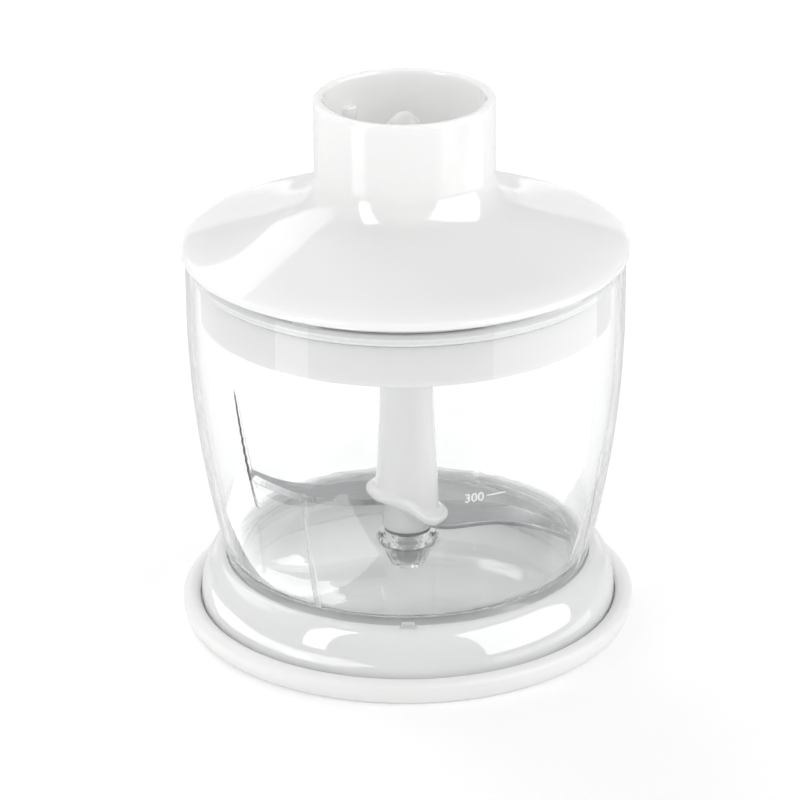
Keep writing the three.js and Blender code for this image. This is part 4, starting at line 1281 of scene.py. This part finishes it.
def make_coupling():
    """The splined coupling at the top of the gear train, with a rounded lead-in."""
    base, top = low("drive_coupling").z, high("drive_coupling").z
    outer = high("drive_coupling").x
    cone = top - 6 * MM
    shaft = 3.9 * MM
    hole_top = base + 12 * MM
    outline = [
        (outer, base + 0.5 * MM),
        *[(outer, z) for z in even(base + 3 * MM, cone - 1 * MM, 8)],
        *bezier((outer, cone), (outer, cone + 2.4 * MM), *near(0, top, (3.2, -1.4), (1.9, -0.35)), 10),
        *near(0, top, (1.4, -0.08), (0.8, 0), (0, 0)),
    ]
    foot = [(shaft, base), (outer - 0.4 * MM, base)]
    mesh = turn(bmesh.new(), [*foot, *outline, (0, hole_top), (shaft, hole_top)], 96)
    for vertex in mesh.verts:
        x, y, z = vertex.co
        radius = math.hypot(x, y)
        if radius < shaft + 0.3 * MM:
            continue
        valley = smooth(math.cos(6 * math.atan2(y, x)), -0.75, 0.15)
        share = (radius - shaft) / (outer - shaft)
        drawn = radius - 1.2 * MM * (1 - valley) * clamp01(share)
        vertex.co = (x / radius * drawn, y / radius * drawn, z)
    made = to_object("drive_coupling_splined", mesh)
    finish = moulded_plastic("coupling_white", (0.74, 0.74, 0.73), gloss=0.3, grain=0.000008)
    return settle(made, "sun", "white_plastic", finish, "drive_coupling")


def screw_shape():
    """One pan-head screw with a cross recess, its axis on Z."""
    head_low = low("lid_screw_1").z
    under_head = head_low + 2 * MM
    tip = high("lid_screw_1").z
    profile = [
        (0, head_low),
        *[(r, head_low + 0.35 * MM * (r / (2.6 * MM)) ** 2) for r in even(0.5 * MM, 2.4 * MM, 5)],
        *near(0, head_low, (2.85, 0.75), (3, 1.3)),
        *near(0, under_head, (3, -0.15), (2.85, 0), (1.4, 0)),
    ]
    for i in range(SCREW_THREADS):
        z = under_head + 0.8 * MM + i * 1.15 * MM
        profile += near(0, z, (1.12, 0), (1.4, 0.28), (1.12, 0.56))
    profile += near(0, tip, (1.0, -0.5), (0.4, 0), (0, 0))
    made = to_object("lid_screws", turn(bmesh.new(), profile, 28))
    for angle in (0, math.pi / 2):
        centre = (0, 0, head_low + 0.3 * MM)
        arm = block(bmesh.new(), centre, (3 * MM, 0.75 * MM, 1.8 * MM), 0.12 * MM, angle)
        combine(made, to_object("recess_tool", arm), "DIFFERENCE")
    return made


def make_lid_screws(look):
    """The screws that hold the inner plate, set round a circle."""
    made = screw_shape()
    tree = screw_tree()
    finish = turned_metal("screw_steel", (0.5, 0.5, 0.5), gloss=0.32, line_scale=2500)
    values = {"Count": look.count, "Ring Radius": look.ring_radius, "First Angle": look.first_angle}
    apply_tree(made, tree, {**values, "Material": finish})
    nodes = [f"lid_screw_{k}" for k in range(1, 5)]
    return settle(made, "lid", "pin_steel", finish, *nodes)


# ---- Carried-over working parts ----
def paint_working_parts():
    """Node finishes for the gears, bushings, pins and clips that keep the frame's own meshes."""
    acetal = moulded_plastic("gear_plastic", (0.80, 0.77, 0.66), gloss=0.38, grain=0.000012)
    grey = moulded_plastic("bearing_grey", (0.15, 0.155, 0.16), gloss=0.42, grain=0.000008)
    brass = turned_metal("bearing_brass", (0.56, 0.38, 0.14), gloss=0.3)
    steel = turned_metal("working_steel", (0.52, 0.52, 0.53), gloss=0.26)
    planets = range(1, 4)
    users = [
        (acetal, ["ring_gear", "planet_carrier", *(f"planet_gear_{k}" for k in planets)]),
        (steel, ["sun_gear", "sun_clip", *(f"planet_pin_{k}" for k in planets)]),
        (grey, ["carrier_washer", "output_bushing"]),
        (brass, ["hub_bushing", "input_bushing"]),
    ]
    for finish, nodes in users:
        for node in nodes:
            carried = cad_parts[node]
            if not carried.data.materials:
                carried.data.materials.append(finish)
            for slot in carried.material_slots:
                slot.material = finish


# ---- Stage ----
def aim(made, place, target):
    made.location = place
    made.rotation_mode = "QUATERNION"
    made.rotation_quaternion = (Vector(target) - Vector(place)).to_track_quat("-Z", "Y")


def make_camera(look):
    lens = bpy.data.cameras.new("Camera")
    lens.sensor_width = 36
    lens.lens = look.focal_length
    lens.clip_start = 0.05
    lens.clip_end = 20
    lens.shift_x = -0.0082
    made = bpy.data.objects.new("Camera", lens)
    bpy.context.scene.collection.objects.link(made)
    lift = math.sin(look.elevation) * look.distance
    back = math.cos(look.elevation) * look.distance
    aim(made, (0, -back, look.aim_height + lift), (0, 0, look.aim_height))
    made.rotation_quaternion = made.rotation_quaternion @ Quaternion((0, 0, 1), look.roll)
    bpy.context.scene.camera = made


# Azimuth from the camera (right is positive), elevation, distance, width, height and radiance.
# Soft boxes shape the light on matt surfaces. Cards are seen only as reflections.
SOFT_BOXES = {
    "Window": (-150, 42, 1.2, 0.8, 0.6, 2.2),
    "Strip": (-58, 24, 1.0, 0.3, 0.9, 2.4),
    "Side": (72, 24, 1.1, 1.1, 0.75, 1.3),
}
CARDS = {
    "Window card": (-130, 36, 1.2, 1.05, 0.44, 1.2),
    "High strip card": (-50, 28, 1.0, 0.26, 1.1, 5.0),
    "Low strip card": (-60, -24, 1.0, 0.32, 0.36, 1.4),
    "High side card": (68, 22, 1.0, 1.15, 1.2, 3.6),
    "Low side card": (80, -26, 1.0, 1.3, 0.38, 1.0),
    "Backdrop card": (180, 4, 1.5, 1.9, 0.55, 0.4),
}
NEAR_CARD = (-58, 0.09, 0.05, 0.135, 2.6)  # azimuth, distance, depth, width and radiance


def add_box(name, place, target, width, height, radiance):
    lamp = bpy.data.lights.new(name, "AREA")
    lamp.shape = "RECTANGLE"
    lamp.size = width
    lamp.size_y = height
    lamp.energy = radiance * math.pi * width * height
    made = bpy.data.objects.new(name, lamp)
    bpy.context.scene.collection.objects.link(made)
    aim(made, place, target)
    made.visible_camera = False
    return made


def direction(azimuth, elevation):
    a, e = math.radians(azimuth), math.radians(elevation)
    return Vector((math.sin(a) * math.cos(e), -math.cos(a) * math.cos(e), math.sin(e)))


def make_lights():
    middle = Vector((0, 0, 0.06))
    for name, (azimuth, elevation, distance, width, height, radiance) in SOFT_BOXES.items():
        place = middle + direction(azimuth, elevation) * distance
        add_box(name, place, middle, width, height, radiance).visible_glossy = False
    for name, (azimuth, elevation, distance, width, height, radiance) in CARDS.items():
        place = middle + direction(azimuth, elevation) * distance
        card = add_box(name, place, middle, width, height, radiance)
        card.visible_diffuse = False
        card.visible_transmission = False
    azimuth, distance, depth, width, radiance = NEAR_CARD
    place = direction(azimuth, 0) * distance + Vector((0, 0, 0.001))
    card = add_box("Near card", place, place + Vector((0, 0, 1)), width, depth, radiance)
    card.rotation_mode = "XYZ"
    card.rotation_euler = (math.pi, 0, math.radians(azimuth))
    card.visible_diffuse = False
    card.visible_transmission = False


def make_floor(look):
    mesh = bmesh.new()
    bmesh.ops.create_grid(mesh, x_segments=2, y_segments=2, size=6)
    made = to_object("Floor", mesh)
    white = Finish("floor_white")
    clouds = white.noise(white.place(), 3, 2)
    white.done(
        white.surface(
            Base_Color=white.blend(clouds, (0.9, 0.9, 0.9, 1), (0.92, 0.92, 0.92, 1)),
            Roughness=0.9,
            Specular_IOR_Level=0.1,
            Emission_Color=(1, 1, 1, 1),
            Emission_Strength=look.floor_glow,
        )
    )
    made.data.materials.append(white.material)
    made.visible_glossy = False
    made.visible_shadow = False


def make_sky(look):
    """Even white light, brighter overhead than at the horizon."""
    world = bpy.data.worlds.new("Studio")
    sky = Finish("Studio", world, "ShaderNodeOutputWorld")
    way = sky.add("ShaderNodeTexCoord", output="Generated")
    height = sky.add("ShaderNodeSeparateXYZ", {}, {0: way}, output="Z")
    upper = height.stepped(0.0, 0.85)
    lower = (0.0 - height).stepped(0.0, 0.2)
    light = look.horizon + (look.sky - look.horizon) * upper + 0.3 * lower
    sky.done(sky.add("ShaderNodeBackground", {}, {"Color": (1, 1, 1, 1), "Strength": light}))
    bpy.context.scene.world = world


# ---- Operators ----
class CHOPPER_OT_base(bpy.types.Operator):
    """Make the soft foot ring and the glossy base shell"""

    bl_idname = "chopper.base"
    bl_label = "Base"

    def execute(self, context):
        scene = context.scene
        make_foot_ring(scene.chopper_base)
        make_base_body(scene.chopper_base, scene.chopper_bowl)
        return {"FINISHED"}


class CHOPPER_OT_bowl(bpy.types.Operator):
    """Make the clear bowl, its level mark and its pin"""

    bl_idname = "chopper.bowl"
    bl_label = "Bowl"

    def execute(self, context):
        look = context.scene.chopper_bowl
        make_bowl(look)
        make_level_mark(look)
        make_pin()
        return {"FINISHED"}


class CHOPPER_OT_blade(bpy.types.Operator):
    """Make the washer, the blade shaft and its two steel wings"""

    bl_idname = "chopper.blade"
    bl_label = "Blade unit"

    def execute(self, context):
        look = context.scene.chopper_blade
        make_washer()
        make_shaft(look)
        reach = high("blade_lower").x / 0.95
        steel = brushed_steel("blade_steel", look.steel_colour, (120, 1500, 1500))
        # The ground bevel's colour is the steel's made 1.35 times lighter: a painted highlight along the cutting
        # edges.
        painted_highlight_steel = lighter(look.steel_colour, 1.35)[:3]
        ground = brushed_steel("ground_edge", painted_highlight_steel, (2400, 160, 160), gloss=0.2)
        for node, rise, pitch, turned in (("blade_upper", 9.5, 0, -1), ("blade_lower", 2.8, look.wing_pitch, 1)):
            made = make_wing(look, node, HUB_Z + rise * MM, pitch, turned, reach)
            finish_wing(look, made, node, HUB_Z + rise * MM - pitch / 2, steel, ground)
        return {"FINISHED"}


class CHOPPER_OT_lid(bpy.types.Operator):
    """Make the lid's cover, inner plate, seal and coupling"""

    bl_idname = "chopper.lid"
    bl_label = "Lid"

    def execute(self, context):
        look = context.scene.chopper_lid
        make_lid_cover(look)
        make_underplate(look)
        make_seal(look)
        make_coupling()
        return {"FINISHED"}


class CHOPPER_OT_screws(bpy.types.Operator):
    """Make the screws that hold the inner plate"""

    bl_idname = "chopper.screws"
    bl_label = "Screws"

    def execute(self, context):
        make_lid_screws(context.scene.chopper_screws)
        return {"FINISHED"}


class CHOPPER_OT_working_parts(bpy.types.Operator):
    """Give the gears, bushings, pins and clips their finishes"""

    bl_idname = "chopper.working_parts"
    bl_label = "Working parts"

    def execute(self, context):
        paint_working_parts()
        return {"FINISHED"}


class CHOPPER_OT_stage(bpy.types.Operator):
    """Make the camera, the soft boxes, the floor and the even light"""

    bl_idname = "chopper.stage"
    bl_label = "Stage"

    def execute(self, context):
        look = context.scene.chopper_stage
        context.scene.view_settings.view_transform = "Standard"
        make_camera(look)
        make_lights()
        make_floor(look)
        make_sky(look)
        return {"FINISHED"}


class CHOPPER_PT_panel(bpy.types.Panel):
    """Lists the chopper's operators and settings"""

    bl_idname = "CHOPPER_PT_panel"
    bl_label = "Mini chopper"
    bl_space_type = "VIEW_3D"
    bl_region_type = "UI"
    bl_category = "Chopper"

    def draw(self, context):
        for operator in OPERATORS:
            self.layout.operator(operator.bl_idname)
        for group in SETTINGS:
            box = self.layout.box()
            box.label(text=group.replace("_", " ").capitalize())
            settings = getattr(context.scene, group)
            for name in settings.__annotations__:
                box.prop(settings, name)


OPERATORS = (
    CHOPPER_OT_stage,
    CHOPPER_OT_base,
    CHOPPER_OT_bowl,
    CHOPPER_OT_blade,
    CHOPPER_OT_lid,
    CHOPPER_OT_screws,
    CHOPPER_OT_working_parts,
)


def register():
    for item in (*SETTINGS.values(), *OPERATORS, CHOPPER_PT_panel):
        bpy.utils.register_class(item)
    for name, group in SETTINGS.items():
        setattr(bpy.types.Scene, name, PointerProperty(type=group))


def unregister():
    for name in SETTINGS:
        delattr(bpy.types.Scene, name)
    for item in reversed((*SETTINGS.values(), *OPERATORS, CHOPPER_PT_panel)):
        bpy.utils.unregister_class(item)


def main():
    register()
    bpy.ops.chopper.stage()
    bpy.ops.chopper.base()
    bpy.ops.chopper.bowl()
    bpy.ops.chopper.blade()
    bpy.ops.chopper.lid()
    bpy.ops.chopper.screws()
    bpy.ops.chopper.working_parts()


if __name__ == "__main__":
    main()
